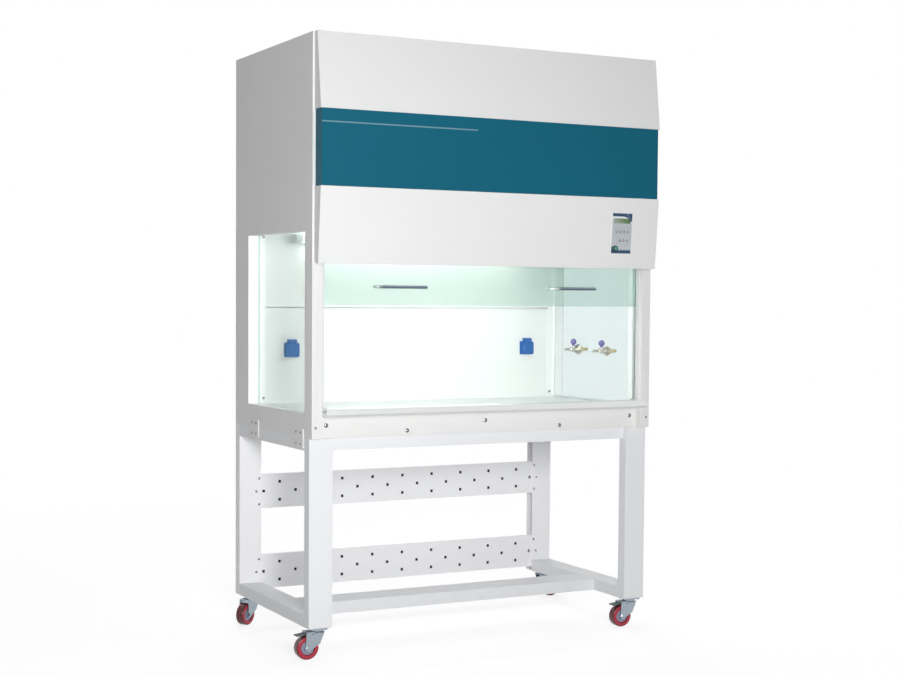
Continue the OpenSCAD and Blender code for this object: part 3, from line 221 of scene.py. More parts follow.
class Finish:
    """One material with a Principled shader, and helpers that add the nodes behind it."""

    def __init__(self, name, colour, roughness=0.5, metallic=0.0):
        self.material = bpy.data.materials.new(name)
        self.material.use_nodes = True
        self.tree = self.material.node_tree
        self.shader = self.tree.nodes["Principled BSDF"]
        self.colour = colour
        self.set("Base Color", (*colour, 1))
        self.set("Roughness", roughness)
        self.set("Metallic", metallic)
        self._place = None

    def feed(self, socket, value):
        """Link a Val to a socket, or set the socket to a plain value."""
        if isinstance(value, Val):
            self.tree.links.new(value.socket, socket)
        else:
            socket.default_value = value

    def set(self, name, value):
        self.feed(self.shader.inputs[name], value)

    def node(self, kind, settings=None, sockets=None, out=0):
        made = self.tree.nodes.new(kind)
        for key, value in (settings or {}).items():
            setattr(made, key, value)
        for key, value in (sockets or {}).items():
            self.feed(made.inputs[key], value)
        return Val(self, made.outputs[out])

    def vector(self, operation, a, b):
        return self.node("ShaderNodeVectorMath", {"operation": operation}, {0: a, 1: b})

    def place(self):
        if self._place is None:
            self._place = self.node("ShaderNodeTexCoord", out="Object")
        return self._place

    def axis(self, letter):
        """The part's own X, Y or Z."""
        split = "ShaderNodeSeparateXYZ"
        return self.node(split, sockets={0: self.place()}, out="XYZ".index(letter))

    def radius(self, centre, line):
        """Distance from the line through a centre, along a unit vector."""
        arm = self.vector("SUBTRACT", self.place(), centre)
        across = self.vector("CROSS_PRODUCT", arm, line)
        return self.node("ShaderNodeVectorMath", {"operation": "LENGTH"}, {0: across}, out=1)

    def noise(self, scale, detail=3.0, stretch=(1, 1, 1), rough=0.5):
        """Noise from 0 to 1; a stretch above 1 makes its grain finer along that axis."""
        where = self.node("ShaderNodeMapping", sockets={"Vector": self.place(), "Scale": stretch})
        return self.node("ShaderNodeTexNoise", sockets={
            "Vector": where, "Scale": scale, "Detail": detail, "Roughness": rough})

    def blend(self, share, first, second):
        """The first colour where share is 0, the second where it is 1."""
        mixer = self.tree.nodes.new("ShaderNodeMix")
        mixer.data_type = "RGBA"
        self.feed(mixer.inputs[0], share)
        for socket, colour in ((mixer.inputs[6], first), (mixer.inputs[7], second)):
            self.feed(socket, colour if isinstance(colour, Val) else (*colour, 1))
        return Val(self, mixer.outputs[2])

    def tinted(self, amount, field):
        """The base colour, made lighter and darker by a field that runs from 0 to 1."""
        dark = tuple(max(0, c * (1 - amount)) for c in self.colour)
        light = tuple(min(1, c * (1 + amount * 0.6)) for c in self.colour)
        return self.blend(field, dark, light)

    def bump(self, height, strength, distance=0.001):
        self.set("Normal", self.node("ShaderNodeBump", sockets={
            "Strength": strength, "Distance": distance, "Height": height}))


print("shader maths ready")

# %% [markdown]
# ## Painted sheet steel
# The cabinet is powder coated: a pale, faintly warm white with a fine orange-peel skin and a
# soft sheen. Three layers of noise do it. A broad one shifts the tone so that big panels
# aren't dead flat, a middle one moves the roughness, and a fine one is the peel in the bump.

# %% Powder coat


def powder_coat(name, colour, roughness=0.38, peel=0.10, tone=0.035):
    """`peel` is the strength of the orange-peel skin, `tone` the share by which the tone moves."""
    coat = Finish(name, colour, roughness)
    broad = coat.noise(2.2, 2.0)
    coat.set("Base Color", coat.tinted(tone, broad))
    coat.set("Roughness", coat.noise(14.0) * 0.12 + (roughness - 0.06))
    coat.bump(coat.noise(620.0, 2.0), peel, 0.0004)
    return coat


cabinet_white = powder_coat("cabinet_white", (0.80, 0.80, 0.79))
cover_white = powder_coat("cover_white", (0.80, 0.80, 0.80), 0.33)
stand_white = powder_coat("stand_white", (0.82, 0.83, 0.85), 0.36)
chamber_white = powder_coat("chamber_white", (0.82, 0.84, 0.82), 0.42)
strip_grey = powder_coat("strip_grey", (0.93, 0.93, 0.95), 0.40)
# The next coat is near-black painted shade for the inside of the strips, seen through their holes.
strip_painted_shade = powder_coat("strip_painted_shade", (0.012, 0.018, 0.030), 0.60)
# The next coat is the stand's white made brighter, as painted light on the back legs.
rear_leg_painted_lit_white = powder_coat("rear_leg_painted_lit_white", (0.93, 0.93, 0.95), 0.36)
# The next coat is the cabinet's white made brighter, as painted light on the walls' chamber side
# and behind the side glass.
painted_lit_white = powder_coat("painted_lit_white", (0.95, 0.96, 0.96), 0.42)
trim_white = powder_coat("trim_white", (0.84, 0.86, 0.85), 0.36)
pedal_grey = powder_coat("pedal_grey", (0.10, 0.11, 0.12), 0.45)
print("paints", cabinet_white.material.name, stand_white.material.name)

# %% [markdown]
# ## The coloured band
# The band is the same coat in a deep blue-green, with one thin pale line printed across its
# left half. The line is a mask on the object's own X and Z, so it lies on the steel and
# needs no picture.

# %% Band
BAND_FRONT_Y = -0.3715
LINE_Z, LINE_HALF_HIGH = 1.682, 0.0021
LINE_LEFT_X, LINE_RIGHT_X = -0.6195, -0.078
LINE_BLUE = (0.20, 0.34, 0.40)
band = powder_coat("band_paint", (0.004, 0.112, 0.175), 0.50, 0.07, 0.06)
band.set("Specular IOR Level", 0.15)
x, y, z = (band.axis(letter) for letter in "XYZ")
line = ((z - LINE_Z).absolute() < LINE_HALF_HIGH) * (x < LINE_RIGHT_X) * (x > LINE_LEFT_X)
plain = band.tinted(0.06, band.noise(2.2, 2.0))
band.set("Base Color", band.blend(line * (y < BAND_FRONT_Y) * 0.8, plain, LINE_BLUE))
print("band line", LINE_HALF_HIGH * 2, "m high at z =", LINE_Z)

# %% [markdown]
# ## Metals
# The worktop and the sash guides are brushed along their length, and the shafts are turned
# round their axis, so the noise that feeds roughness and bump is drawn out along those marks.
# Zinc, nickel and galvanised sheet get their own tone and spangle.
# The gas taps end in brass outside the glass. The sash handles are chrome, with painted shade
# that darkens them below and a painted white glint near the left end of each.

# %% Metals


def brushed(name, colour, stretch, roughness):
    """`stretch` is 1 along the marks and high across them."""
    steel = Finish(name, colour, roughness, 1.0)
    grain = steel.noise(40.0, 4.0, stretch)
    steel.set("Base Color", steel.tinted(0.10, grain))
    steel.set("Roughness", grain * 0.20 + (roughness - 0.10) + steel.noise(5.0) * 0.06)
    steel.bump(grain, 0.05, 0.0003)
    return steel


def plated(name, colour, roughness, spangle, size=70.0):
    """`spangle` is the share by which its clouds of a given size move the tone."""
    metal = Finish(name, colour, roughness, 1.0)
    cloud = metal.noise(size, 2.0)
    metal.set("Base Color", metal.tinted(spangle, cloud))
    metal.set("Roughness", metal.noise(25.0) * 0.14 + (roughness - 0.05))
    metal.bump(cloud, 0.03, 0.0003)
    return metal


worktop_steel = brushed("worktop_steel", (0.74, 0.75, 0.75), (1, 50, 50), 0.30)
shaft_steel = brushed("shaft_steel", (0.50, 0.51, 0.53), (60, 1, 1), 0.30)
rail_aluminium = brushed("rail_aluminium", (0.66, 0.67, 0.68), (60, 60, 1), 0.36)
handle_chrome = plated("handle_chrome", (0.28, 0.33, 0.38), 0.16, 0.04)
screw_steel = plated("screw_steel", (0.26, 0.26, 0.27), 0.20, 0.10)
caster_zinc = plated("caster_zinc", (0.36, 0.41, 0.46), 0.24, 0.22, 120.0)
tap_nickel = plated("tap_nickel", (0.58, 0.56, 0.50), 0.20, 0.12)
duct_zinc = plated("duct_zinc", (0.55, 0.57, 0.58), 0.42, 0.22, 45.0)

BRASS, BRASS_FROM_X = (0.62, 0.46, 0.20), 0.5955
nickel = tap_nickel.tinted(0.12, tap_nickel.noise(70.0))
outside = tap_nickel.axis("X") > BRASS_FROM_X
tap_nickel.set("Base Color", tap_nickel.blend(outside, nickel, BRASS))

HANDLE_LEFT_X, HANDLE_PITCH, HANDLE_Z = -0.46, 0.66, 1.1775
GLINT_HALF, SHADE_DEPTH = 0.035, 0.003
CHROME_TOP, CHROME_PAINTED_SHADE, PAINTED_GLINT_WHITE = (0.30, 0.35, 0.40), (0.04, 0.06, 0.09), (0.97, 0.98, 0.99)
# Painted shade darkens each handle below HANDLE_Z, and a painted glint whitens it near its left
# end.
x, z = handle_chrome.axis("X"), handle_chrome.axis("Z")
from_left_end = x - HANDLE_LEFT_X - (x > 0) * HANDLE_PITCH
handle_painted_glint = (1.0 - (from_left_end - GLINT_HALF).absolute() / GLINT_HALF).clamped()
handle_painted_shade = ((HANDLE_Z - z) / SHADE_DEPTH).clamped()
chrome = handle_chrome.blend(handle_painted_shade, CHROME_TOP, CHROME_PAINTED_SHADE)
handle_chrome.set("Base Color", handle_chrome.blend(handle_painted_glint, chrome, PAINTED_GLINT_WHITE))
print("metals ready")

# %% [markdown]
# ## Cast iron, paper and plastics
# Inside the hood are things nobody sees until a cover comes off: the motor's iron, the
# weights, the filter's pleated paper. Each still gets the grain of its own material. The
# plastics are the lamp fittings, the keypad, the sockets, the tap knobs and the mains inlet.

# %% Dark iron, filter media and plastics


def cast(name, colour):
    iron = Finish(name, colour, 0.6, 0.7)
    lumps = iron.noise(160.0, 4.0)
    iron.set("Base Color", iron.tinted(0.3, lumps))
    iron.set("Roughness", lumps * 0.25 + 0.45)
    iron.bump(lumps, 0.35, 0.0008)
    return iron


def fibre(name, colour, scale):
    pad = Finish(name, colour, 0.9)
    threads = pad.noise(scale, 6.0, (1, 1, 4), 0.7)
    pad.set("Base Color", pad.tinted(0.18, threads))
    pad.bump(threads, 0.5, 0.001)
    return pad


def moulded(name, colour, roughness, grain=260.0, bump=0.08):
    plastic = Finish(name, colour, roughness)
    skin = plastic.noise(grain, 2.0)
    plastic.set("Base Color", plastic.tinted(0.05, plastic.noise(18.0)))
    plastic.set("Roughness", skin * 0.12 + (roughness - 0.05))
    plastic.bump(skin, bump, 0.0004)
    return plastic


weight_iron = cast("weight_iron", (0.06, 0.065, 0.07))
motor_iron = cast("motor_iron", (0.08, 0.09, 0.10))
filter_paper = fibre("filter_paper", (0.80, 0.80, 0.72), 240.0)
filter_pad = fibre("filter_pad", (0.12, 0.17, 0.24), 150.0)
fitting_white = moulded("fitting_white", (0.84, 0.88, 0.86), 0.45)
panel_pale = moulded("panel_pale", (0.78, 0.80, 0.82), 0.40, 420.0, 0.03)
socket_blue = moulded("socket_blue", (0.018, 0.12, 0.38), 0.34)
knob_violet = moulded("knob_violet", (0.17, 0.14, 0.36), 0.22)
inlet_black = moulded("inlet_black", (0.02, 0.02, 0.022), 0.42)
print("plastics ready")

# %% [markdown]
# ## Glass
# The panes are clear float glass with a faint green cast that shows at their edges. A sheet
# this thin hardly bends light, so it is drawn by transparency: nearly clear seen square on,
# with more of its cast at a glancing angle, which a Layer Weight node gives. The lamp tubes
# glow along their length and are dark at their ends.

# %% Glass
CLEAR_FROM_Y, CLEAR_FADE, CLEAR_CAST = 0.20, 0.02, 0.15


def pane(name, colour, least, most, right=0.0):
    """Glass whose cast grows from least, seen square on, to most, seen at a glance.

    `right` adds to the cast of what stands on the cabinet's right. Towards the rear trims
    only a small share of the cast is left, so that they show bright.
    """
    glass = Finish(name, colour, 0.03)
    glass.set("Specular IOR Level", 0.6)
    glance = glass.node("ShaderNodeLayerWeight", sockets={"Blend": 0.35}, out="Facing")
    smear = glass.noise(3.0, 2.0) * 0.03 + (glass.axis("X") > 0) * right
    tint = glance.power(2.2) * (most - least) + least + smear
    before_trims = ((CLEAR_FROM_Y - glass.axis("Y")) / CLEAR_FADE).clamped()
    glass.set("Alpha", tint * (before_trims * (1 - CLEAR_CAST) + CLEAR_CAST))
    glass.set("Roughness", glass.noise(9.0) * 0.03 + 0.02)
    glass.material.surface_render_method = "BLENDED"
    return glass


sash_clear = pane("sash_clear", (0.20, 0.50, 0.38), 0.21, 0.50)
window_clear = pane("window_clear", (0.16, 0.46, 0.46), 0.04, 0.13, 0.10)
window_edge = Finish("window_edge", (0.62, 0.80, 0.74), 0.12)
window_edge.set("Base Color", window_edge.tinted(0.10, window_edge.noise(30.0, 3.0)))
glass_edge = Finish("glass_edge", (0.30, 0.60, 0.46), 0.12)
glass_edge.set("Base Color", glass_edge.tinted(0.25, glass_edge.noise(30.0, 3.0)))

TUBE_END_X, TUBE_END_FADE, TUBE_STRENGTH = 0.405, 0.03, 14.5
TUBE_LIGHT, TUBE_END_LIGHT = (0.94, 1.0, 0.97), (0.030, 0.036, 0.034)
tube_glow = Finish("tube_glow", (0.80, 0.86, 0.84), 0.3)
tube_glow.set("Emission Strength", TUBE_STRENGTH)
tube_end = ((tube_glow.axis("X").absolute() - TUBE_END_X) / TUBE_END_FADE).clamped()
tube_glow.set("Emission Color", tube_glow.blend(tube_end, TUBE_LIGHT, TUBE_END_LIGHT))
print("glass and lamp ready")

# %% [markdown]
# ## The keypad's print
# The keypad is a printed foil. Its print is drawn with sums on the part's own X and Z,
# measured in millimetres from the keypad's middle: a dark head with a swooping lower edge,
# a pale line under it, a ring round each key, and a dark foot that rises round the button.
# Nothing on it can be read, and it carries no word or sign.

# %% The keypad's place
PAD_X, PAD_Y, PAD_Z = 0.479, -0.36671, 1.3655
PAD_LEAN = math.radians(4.68)
PAD_FACE = Vector((0, -math.cos(PAD_LEAN), -math.sin(PAD_LEAN)))
PAD_HALF_WIDE, PAD_HALF_HIGH = 39.0, 67.6
KEYS = [(-21 + 14.5 * i, 5.0) for i in range(4)] + [(-6.5 + 14.5 * i, -24.5) for i in range(3)]
KEY_RING = (2.6, 5.2)
KEY_FRAME_AT, KEY_FRAME_OUTER, KEY_FRAME_INNER = (9, -9), (28.8, 27.4), (26.8, 25.4)
GLOW_AT, GLOW_R, GLOW_FADE = (-21.0, -50.5), 6.5, 3.0


def pad_place(finish):
    """Millimetres to the right of and above the keypad's middle."""
    across = (finish.axis("X") - PAD_X) * 1000
    up = (finish.axis("Z") - PAD_Z) * (1000 / math.cos(PAD_LEAN))
    return across, up


def pad_far(across, up, centre):
    """Distance from a point of the keypad, in millimetres."""
    dx, dy = across - centre[0], up - centre[1]
    return (dx * dx + dy * dy).power(0.5)


def pad_box(across, up, half):
    """1 within a rectangle round the keys."""
    dx, dy = across - KEY_FRAME_AT[0], up - KEY_FRAME_AT[1]
    return (dx.absolute() < half[0]) * (dy.absolute() < half[1])


print("keys", len(KEYS), "keypad's middle", (PAD_X, PAD_Y, PAD_Z))

# %% [markdown]
# The print is laid on from the back to the front: the foil, the ring of each key, a frame
# round them, the head with its pale line and a painted glint, then the foot and the pale rim.

# %% Keypad print
NAVY, STEEL_BLUE, PALE = (0.012, 0.045, 0.11), (0.10, 0.20, 0.30), (0.80, 0.84, 0.87)
FOIL, FOIL_LOW = (0.48, 0.51, 0.54), (0.60, 0.66, 0.66)
RING_INK, FRAME_INK = (0.05, 0.055, 0.10), (0.30, 0.32, 0.34)
keypad_print = Finish("keypad_print", FOIL, 0.32)
across, up = pad_place(keypad_print)
low_tone = ((2.0 - up) / 60).clamped() * 0.22
ink = keypad_print.tinted(0.05, keypad_print.noise(25.0))
ink = keypad_print.blend(low_tone, ink, FOIL_LOW)
for key in KEYS:
    far = pad_far(across, up, key)
    ink = keypad_print.blend((far > KEY_RING[0]) * (far < KEY_RING[1]), ink, RING_INK)
frame_line = pad_box(across, up, KEY_FRAME_OUTER) - pad_box(across, up, KEY_FRAME_INNER)
ink = keypad_print.blend(frame_line * 0.35, ink, FRAME_INK)

HEAD_UP, HEAD_LINE = 57.0, 6.0
SWOOP_FROM, SWOOP_LONG, SWOOP_DEEP = 3.0, 34, 19.0
HEAD_GLINT_AT, HEAD_GLINT_HALF = 53, 5
swoop = ((across - SWOOP_FROM) / SWOOP_LONG).clamped()
head_edge = HEAD_UP - swoop * swoop * SWOOP_DEEP
# A slanting steel-blue band across the dark head is a painted glint, not print.
slanting = (across + up * 0.5 - HEAD_GLINT_AT).absolute()
head_painted_glint = (slanting < HEAD_GLINT_HALF) * (up > head_edge)
ink = keypad_print.blend((up > head_edge - HEAD_LINE) * 0.85, ink, PALE)
ink = keypad_print.blend(up > head_edge, ink, NAVY)
ink = keypad_print.blend(head_painted_glint * 0.5, ink, STEEL_BLUE)

FOOT_UP, FOOT_LINE, FOOT_LINE_LEFT = -58.5, 3.5, -10
RISE_FROM, RISE_LONG, RISE_HIGH = -12.0, 14, 14.0
rise = ((RISE_FROM - across) / RISE_LONG).clamped()
foot_edge = rise * rise * RISE_HIGH + FOOT_UP
foot_line = (up < foot_edge + FOOT_LINE) * (across > FOOT_LINE_LEFT)
ink = keypad_print.blend(foot_line, ink, STEEL_BLUE)
ink = keypad_print.blend(up < foot_edge, ink, NAVY)
rim = ((across.absolute() > PAD_HALF_WIDE) + (up.absolute() > PAD_HALF_HIGH)).low(1)
keypad_print.set("Base Color", keypad_print.blend(rim, ink, PALE))
keypad_print.set("Roughness", keypad_print.noise(90.0) * 0.10 + 0.26)
print("keypad print ready")

# %% [markdown]
# The power button is a dark teal dome, darker towards its rim, with a painted glow in its middle.

# %% Power button
TEAL, TEAL_RIM, TEAL_PAINTED_GLOW = (0.008, 0.11, 0.11), (0.002, 0.02, 0.035), (0.16, 0.52, 0.44)
button_teal = Finish("button_teal", TEAL, 0.22)
across, up = pad_place(button_teal)
far = pad_far(across, up, GLOW_AT)
# The lighter middle is a painted glow in the base colour; the button gives no light.
button_painted_glow = (1.0 - far / GLOW_R).clamped()
edge = ((far - GLOW_R) / GLOW_FADE).clamped()
dome = button_teal.blend(edge, TEAL, TEAL_RIM)
button_teal.set("Base Color", button_teal.blend(button_painted_glow, dome, TEAL_PAINTED_GLOW))
print("button ready")

# %% [markdown]
# ## Caster wheels
# A wheel is one moulding in two materials: a grey centre and a red tread whose outer rim is
# darker. The border between them is a circle round the axle, so each wheel's finish measures
# its distance from its own axle.

# %% Wheels
CASTERS = {"fl": (-0.590, -0.2735), "fr": (0.590, -0.2735),
           "bl": (-0.590, 0.3265), "br": (0.590, 0.3265)}
CENTRE_R, GROOVE_R, GROOVE_HALF, RIM_R = 0.0213, 0.0225, 0.0012, 0.0335
TREAD_RED, RIM_RED, GROOVE_RED = (0.42, 0.020, 0.040), (0.10, 0.006, 0.012), (0.16, 0.004, 0.05)
CENTRE_GREY = (0.26, 0.27, 0.36)


def wheel_finish(corner):
    centre, line = wheel_axis(corner)
    tread = Finish("tread_" + corner, TREAD_RED, 0.24)
    far = tread.radius(centre, line)
    grain = tread.noise(60.0, 2.0)
    rim = ((far - RIM_R) * 500).clamped()
    groove = (GROOVE_R - far).absolute() < GROOVE_HALF
    red = tread.blend(rim, tread.tinted(0.10, grain), RIM_RED)
    red = tread.blend(groove, red, GROOVE_RED)
    tread.set("Base Color", tread.blend(far < CENTRE_R, red, CENTRE_GREY))
    tread.set("Roughness", grain * 0.12 + 0.18)
    return tread


def wheel_axis(corner):
    """Middle of a wheel and the direction of its axle, from the CAD wheel's own vertices."""
    corners = [Vector(c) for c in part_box("caster_wheel_" + corner)]
    middle = (corners[0] + corners[1]) / 2
    x, y = CASTERS[corner]
    along = Vector((middle.x - x, middle.y - y, 0)).normalized()
    return tuple(middle), (-along.y, along.x, 0)


wheel_red = {corner: wheel_finish(corner) for corner in CASTERS}
print("wheels:", {c: [round(v, 3) for v in wheel_axis(c)[0]] for c in CASTERS})

# %% [markdown]
# ## Which finish goes where
# A CAD node keeps its solid and only changes its material slots. Four nodes stay bare, because
# pieces made further down take their place.

# %% Dress the CAD nodes
DRESS = {
    cabinet_white: ["side_panel_left", "side_panel_right", "side_frame_left", "side_frame_right",
                    "front_posts", "back_panel", "top_panel", "apron", "base_pan", "joint_plates"],
    chamber_white: ["rear_wall", "diffuser"],
    cover_white: ["hood_upper", "hood_lower"],
    band: ["hood_band"],
    stand_white: ["front_legs", "top_rails", "bottom_rails", "cross_rail"],
    # The back legs get the stand's white made brighter, which is painted light.
    rear_leg_painted_lit_white: ["back_legs"],
    strip_grey: ["perforated_strips"],
    worktop_steel: ["worktop"],
    duct_zinc: ["blower_housing", "impeller", "plenum_box"],
    motor_iron: ["blower_motor"],
    weight_iron: ["counterweights"],
    filter_paper: ["hepa_filter"],
    filter_pad: ["prefilter"],
    fitting_white: ["lamp_fittings"],
    tube_glow: ["lamp_tubes"],
    panel_pale: ["control_panel"],
    button_teal: ["power_button"],
    sash_clear: ["sash_glass"],
    window_clear: ["side_windows"],
    handle_chrome: ["sash_handles"],
    rail_aluminium: ["sash_guides"],
    shaft_steel: ["sash_shaft_upper", "sash_shaft_lower", "sash_cables"],
    socket_blue: ["socket_bases", "socket_lid_left", "socket_lid_right"],
    tap_nickel: ["gas_taps"],
    inlet_black: ["power_inlet"],
    caster_zinc: ["caster_plates"] + ["caster_fork_" + c for c in CASTERS],
    **{wheel_red[c]: ["caster_wheel_" + c] for c in CASTERS},
    pedal_grey: ["brake_pedal_fl", "brake_pedal_fr"],
}


def dress(thing, finish):
    """Put one finish on a whole object."""
    thing.data.materials.clear()
    thing.data.materials.append(finish.material)
    for face in thing.data.polygons:
        face.material_index = 0


for finish, names in DRESS.items():
    for name in names:
        dress(nodes[name], finish)
bare = sorted(set(nodes) - {n for names in DRESS.values() for n in names})
print("dressed", len(nodes) - len(bare), "nodes, bare:", bare)

# %% [markdown]
# Some nodes show a second material on a few faces: the print on the keypad's front, the
# green that float glass shows at its cut edges, a brighter white on the walls' chamber side
# and behind the side glass, which is painted light, and painted shade on the inside of the
# strips.

# %% Second materials
BEHIND_GLASS_Y = 0.2
STRIP_FRONT_DEPTH = 0.004


def repaint(name, finish, chosen):
    """Give a second finish to the faces that a rule picks."""
    mesh = nodes[name].data
    mesh.materials.append(finish.material)
    picked = [face for face in mesh.polygons if chosen(face)]
    for face in picked:
        face.material_index = len(mesh.materials) - 1
    return len(picked)


def faces_chamber(side):
    """A rule for the faces that look into the chamber or forwards behind its side glass."""
    return lambda f: (f.normal.x * side < -0.9
                      or (f.normal.y < -0.9 and f.center.y > BEHIND_GLASS_Y))


strip_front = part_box("perforated_strips")[0][1]
painted = {
    "keypad": repaint("control_panel", keypad_print, lambda f: f.normal.dot(PAD_FACE) > 0.95),
    "sash edges": repaint("sash_glass", glass_edge, lambda f: abs(f.normal.y) < 0.5),
    "window edges": repaint("side_windows", window_edge, lambda f: abs(f.normal.x) < 0.5),
    # The walls' chamber side and the faces behind the side glass get painted light: a brighter
    # white.
    "left wall": repaint("side_frame_left", painted_lit_white, faces_chamber(-1)),
    "right wall": repaint("side_frame_right", painted_lit_white, faces_chamber(1)),
    # The inside of the strips gets near-black painted shade.
    "strips": repaint("perforated_strips", strip_painted_shade, lambda f: (
        f.normal.y < -0.5 and f.center.y > strip_front + STRIP_FRONT_DEPTH)),
}
print("faces painted again:", painted)

# %% [markdown]
# ## Softened edges
# Folded sheet and moulded plastic have no knife edges. A Weld joins the CAD's loose
# triangles and a narrow Bevel rounds each sharp edge, which catches a thin highlight.

# %% Soften edges
MERGE = 1e-5


def soften(name, width):
    thing = nodes[name]
    weld = thing.modifiers.new("weld", "WELD")
    weld.merge_threshold = MERGE
    bevel = thing.modifiers.new("soft_edge", "BEVEL")
    bevel.width = width
    bevel.segments = 2
    bevel.limit_method = "ANGLE"
    bevel.angle_limit = math.radians(40)
    thing.data.shade_smooth()
    smooth = thing.modifiers.new("even_shade", "WEIGHTED_NORMAL")
    smooth.keep_sharp = True


SOFT = {0.0007: ["side_panel_left", "side_panel_right", "front_posts", "top_panel",
                 "hood_upper", "hood_band"],
        0.0012: ["front_legs", "bottom_rails", "cross_rail"]}
for width, names in SOFT.items():
    for name in names:
        soften(name, width)
print("softened", sum(len(v) for v in SOFT.values()), "nodes")

# %% [markdown]
# ## Modelling helpers
# Every piece that is made here comes from a few steps: spin a profile, make a block, cut,
# round the edges, join, and at last name, dress and shade it and tie it to its body.

# %% Modelling helpers


def alone(*things):
    """Select only these objects and make the first one active."""
    bpy.ops.object.select_all(action="DESELECT")
    for thing in things:
        thing.select_set(True)
    bpy.context.view_layer.objects.active = things[0]


def joined(things):
    alone(*things)
    bpy.ops.object.join()
    return bpy.context.object


def spun(name, profile, steps):
    """Turn a profile of (radius, height) points round Z."""
    mesh = bpy.data.meshes.new(name)
    edges = [(i, i + 1) for i in range(len(profile) - 1)]
    mesh.from_pydata([(r, 0, z) for r, z in profile], edges, [])
    thing = bpy.data.objects.new(name, mesh)
    bpy.context.scene.collection.objects.link(thing)
    alone(thing)
    bpy.ops.object.mode_set(mode="EDIT")
    bpy.ops.mesh.select_all(action="SELECT")
    bpy.ops.mesh.spin(steps=steps, angle=2 * math.pi, center=(0, 0, 0), axis=(0, 0, 1))
    bpy.ops.mesh.select_all(action="SELECT")
    bpy.ops.mesh.remove_doubles(threshold=1e-6)
    bpy.ops.mesh.normals_make_consistent(inside=False)
    bpy.ops.object.mode_set(mode="OBJECT")
    return thing


def cut(thing, punch):
    """Take one mesh out of another and drop the punch."""
    modifier = thing.modifiers.new("cut", "BOOLEAN")
    modifier.operation = "DIFFERENCE"
    modifier.solver = "EXACT"
    modifier.object = punch
    alone(thing)
    bpy.ops.object.modifier_apply(modifier=modifier.name)
    bpy.data.objects.remove(punch)


def block(name, size, at, taper=1.0):
    """A box with its middle at a point; the lower end can be narrower."""
    bpy.ops.mesh.primitive_cube_add(size=1, location=(0, 0, 0))
    thing = bpy.context.object
    thing.name = name
    for corner in thing.data.vertices:
        share = taper if corner.co.z < 0 else 1.0
        corner.co = (at[0] + corner.co.x * size[0] * share, at[1] + corner.co.y * size[1] * share,
                     at[2] + corner.co.z * size[2])
    return thing


def rounded(thing, offset, segments):
    """Round all edges of a mesh."""
    alone(thing)
    bpy.ops.object.mode_set(mode="EDIT")
    bpy.ops.mesh.select_all(action="SELECT")
    bpy.ops.mesh.bevel(offset=offset, segments=segments)
    bpy.ops.object.mode_set(mode="OBJECT")


def finished(thing, name, finish, body="cabinet"):
    """Name a new piece, dress it, shade it and tie it to a body."""
    thing.name = name
    dress(thing, finish)
    alone(thing)
    bpy.ops.object.shade_smooth_by_angle(angle=math.radians(35))
    for modifier in list(thing.modifiers):
        bpy.ops.object.modifier_apply(modifier=modifier.name)
    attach(thing, body)


print("modelling helpers ready")

# %% [markdown]
# ## Screws with a cross recess
# The CAD keeps the screws plain. Here each gets its recess: a profile is spun into a pan
# head with its shank, and a tapered cross is cut out of it. All measures but the shank's
# length are shares of the head's width.

# %% Screw shape
DOME_R, DOME_SINK, DOME_STEPS = 0.8, 0.55, 7
SHANK_R, SHANK_LENGTH = 0.275, 0.003
CROSS_WIDE, CROSS_THIN, CROSS_DEEP, CROSS_TAPER = 0.56, 0.12, 0.22, 0.55


def screw_shape(head):
    """One screw: the dome of a pan head with a cross recess, on its shank."""
    dome, sink = head * DOME_R, head * DOME_SINK
    profile = [(0, dome - sink)]
    for step in range(1, DOME_STEPS + 1):
        r = head / 2 * math.sin(math.radians(90 * step / DOME_STEPS))
        profile.append((r, math.sqrt(dome * dome - r * r) - sink))
    shank = head * SHANK_R
    profile += [(head / 2, 0), (shank, 0), (shank, -SHANK_LENGTH), (0, -SHANK_LENGTH)]
    screw = spun("screw_%d" % round(head * 1000), profile, 24)
    wide, thin, deep = head * CROSS_WIDE, head * CROSS_THIN, head * CROSS_DEEP
    for size in ((thin, wide, deep), (wide, thin, deep)):
        cut(screw, block("punch", size, (0, 0, dome - sink), CROSS_TAPER))
    return screw


APRON_HEAD, SHEET_HEAD, COVER_HEAD = 0.014, 0.009, 0.008
shapes = {head: screw_shape(head) for head in (APRON_HEAD, SHEET_HEAD, COVER_HEAD)}
print("screw shapes", {head: len(shape.data.polygons) for head, shape in shapes.items()})

# %% [markdown]
# Each screw has a place, in millimetres from the posts' front, and a direction. The copies are
# turned by different angles, as a hand leaves them, and joined into one piece.

# %% Screw places
POSTS_FRONT = 323.5
FRONT, BACK = (0, -1, 0), (0, 1, 0)
APRON_SCREWS = ((-569, 740), (-286, 715), (0, 740), (286, 715), (569, 740))


def pose_matrix(at, axis):
    """Stand a screw at a point given in millimetres from the posts' front, along an axis."""
    point = Vector((at[0], at[1] - POSTS_FRONT, at[2])) / 1000
    turn = Vector(axis).to_track_quat("Z", "Y").to_matrix().to_4x4()
    return Matrix.Translation(point) @ turn


places = [(APRON_HEAD, (x, 30, z), FRONT) for x, z in APRON_SCREWS]
for side in (-1, 1):
    outwards, inwards = (side, 0, 0), (-side, 0, 0)
    sheet = [((side * 618, 0, 735), FRONT)]
    for z in (793, 1348):
        sheet += [((side * 572.5, 578.5, z), FRONT), ((side * 588.5, 49.5, z), inwards)]
    for y in (106, 508):
        sheet += [((side * 633, y + dy, 697.5 + dz), outwards)
                  for dy in (-18, 18) for dz in (-18, 18)]
    sheet += [((side * 558, 660, z), FRONT) for z in (415, 505, 221)]
    sheet += [((side * 568, 660, z), FRONT) for z in (460, 176)]
    places += [(SHEET_HEAD, at, axis) for at, axis in sheet]
places += [(COVER_HEAD, (287.5 * i, 698, z), BACK)
           for i in range(-2, 3) for z in (710, 1372, 1398, 1948)]
print(len(places), "places for screws")

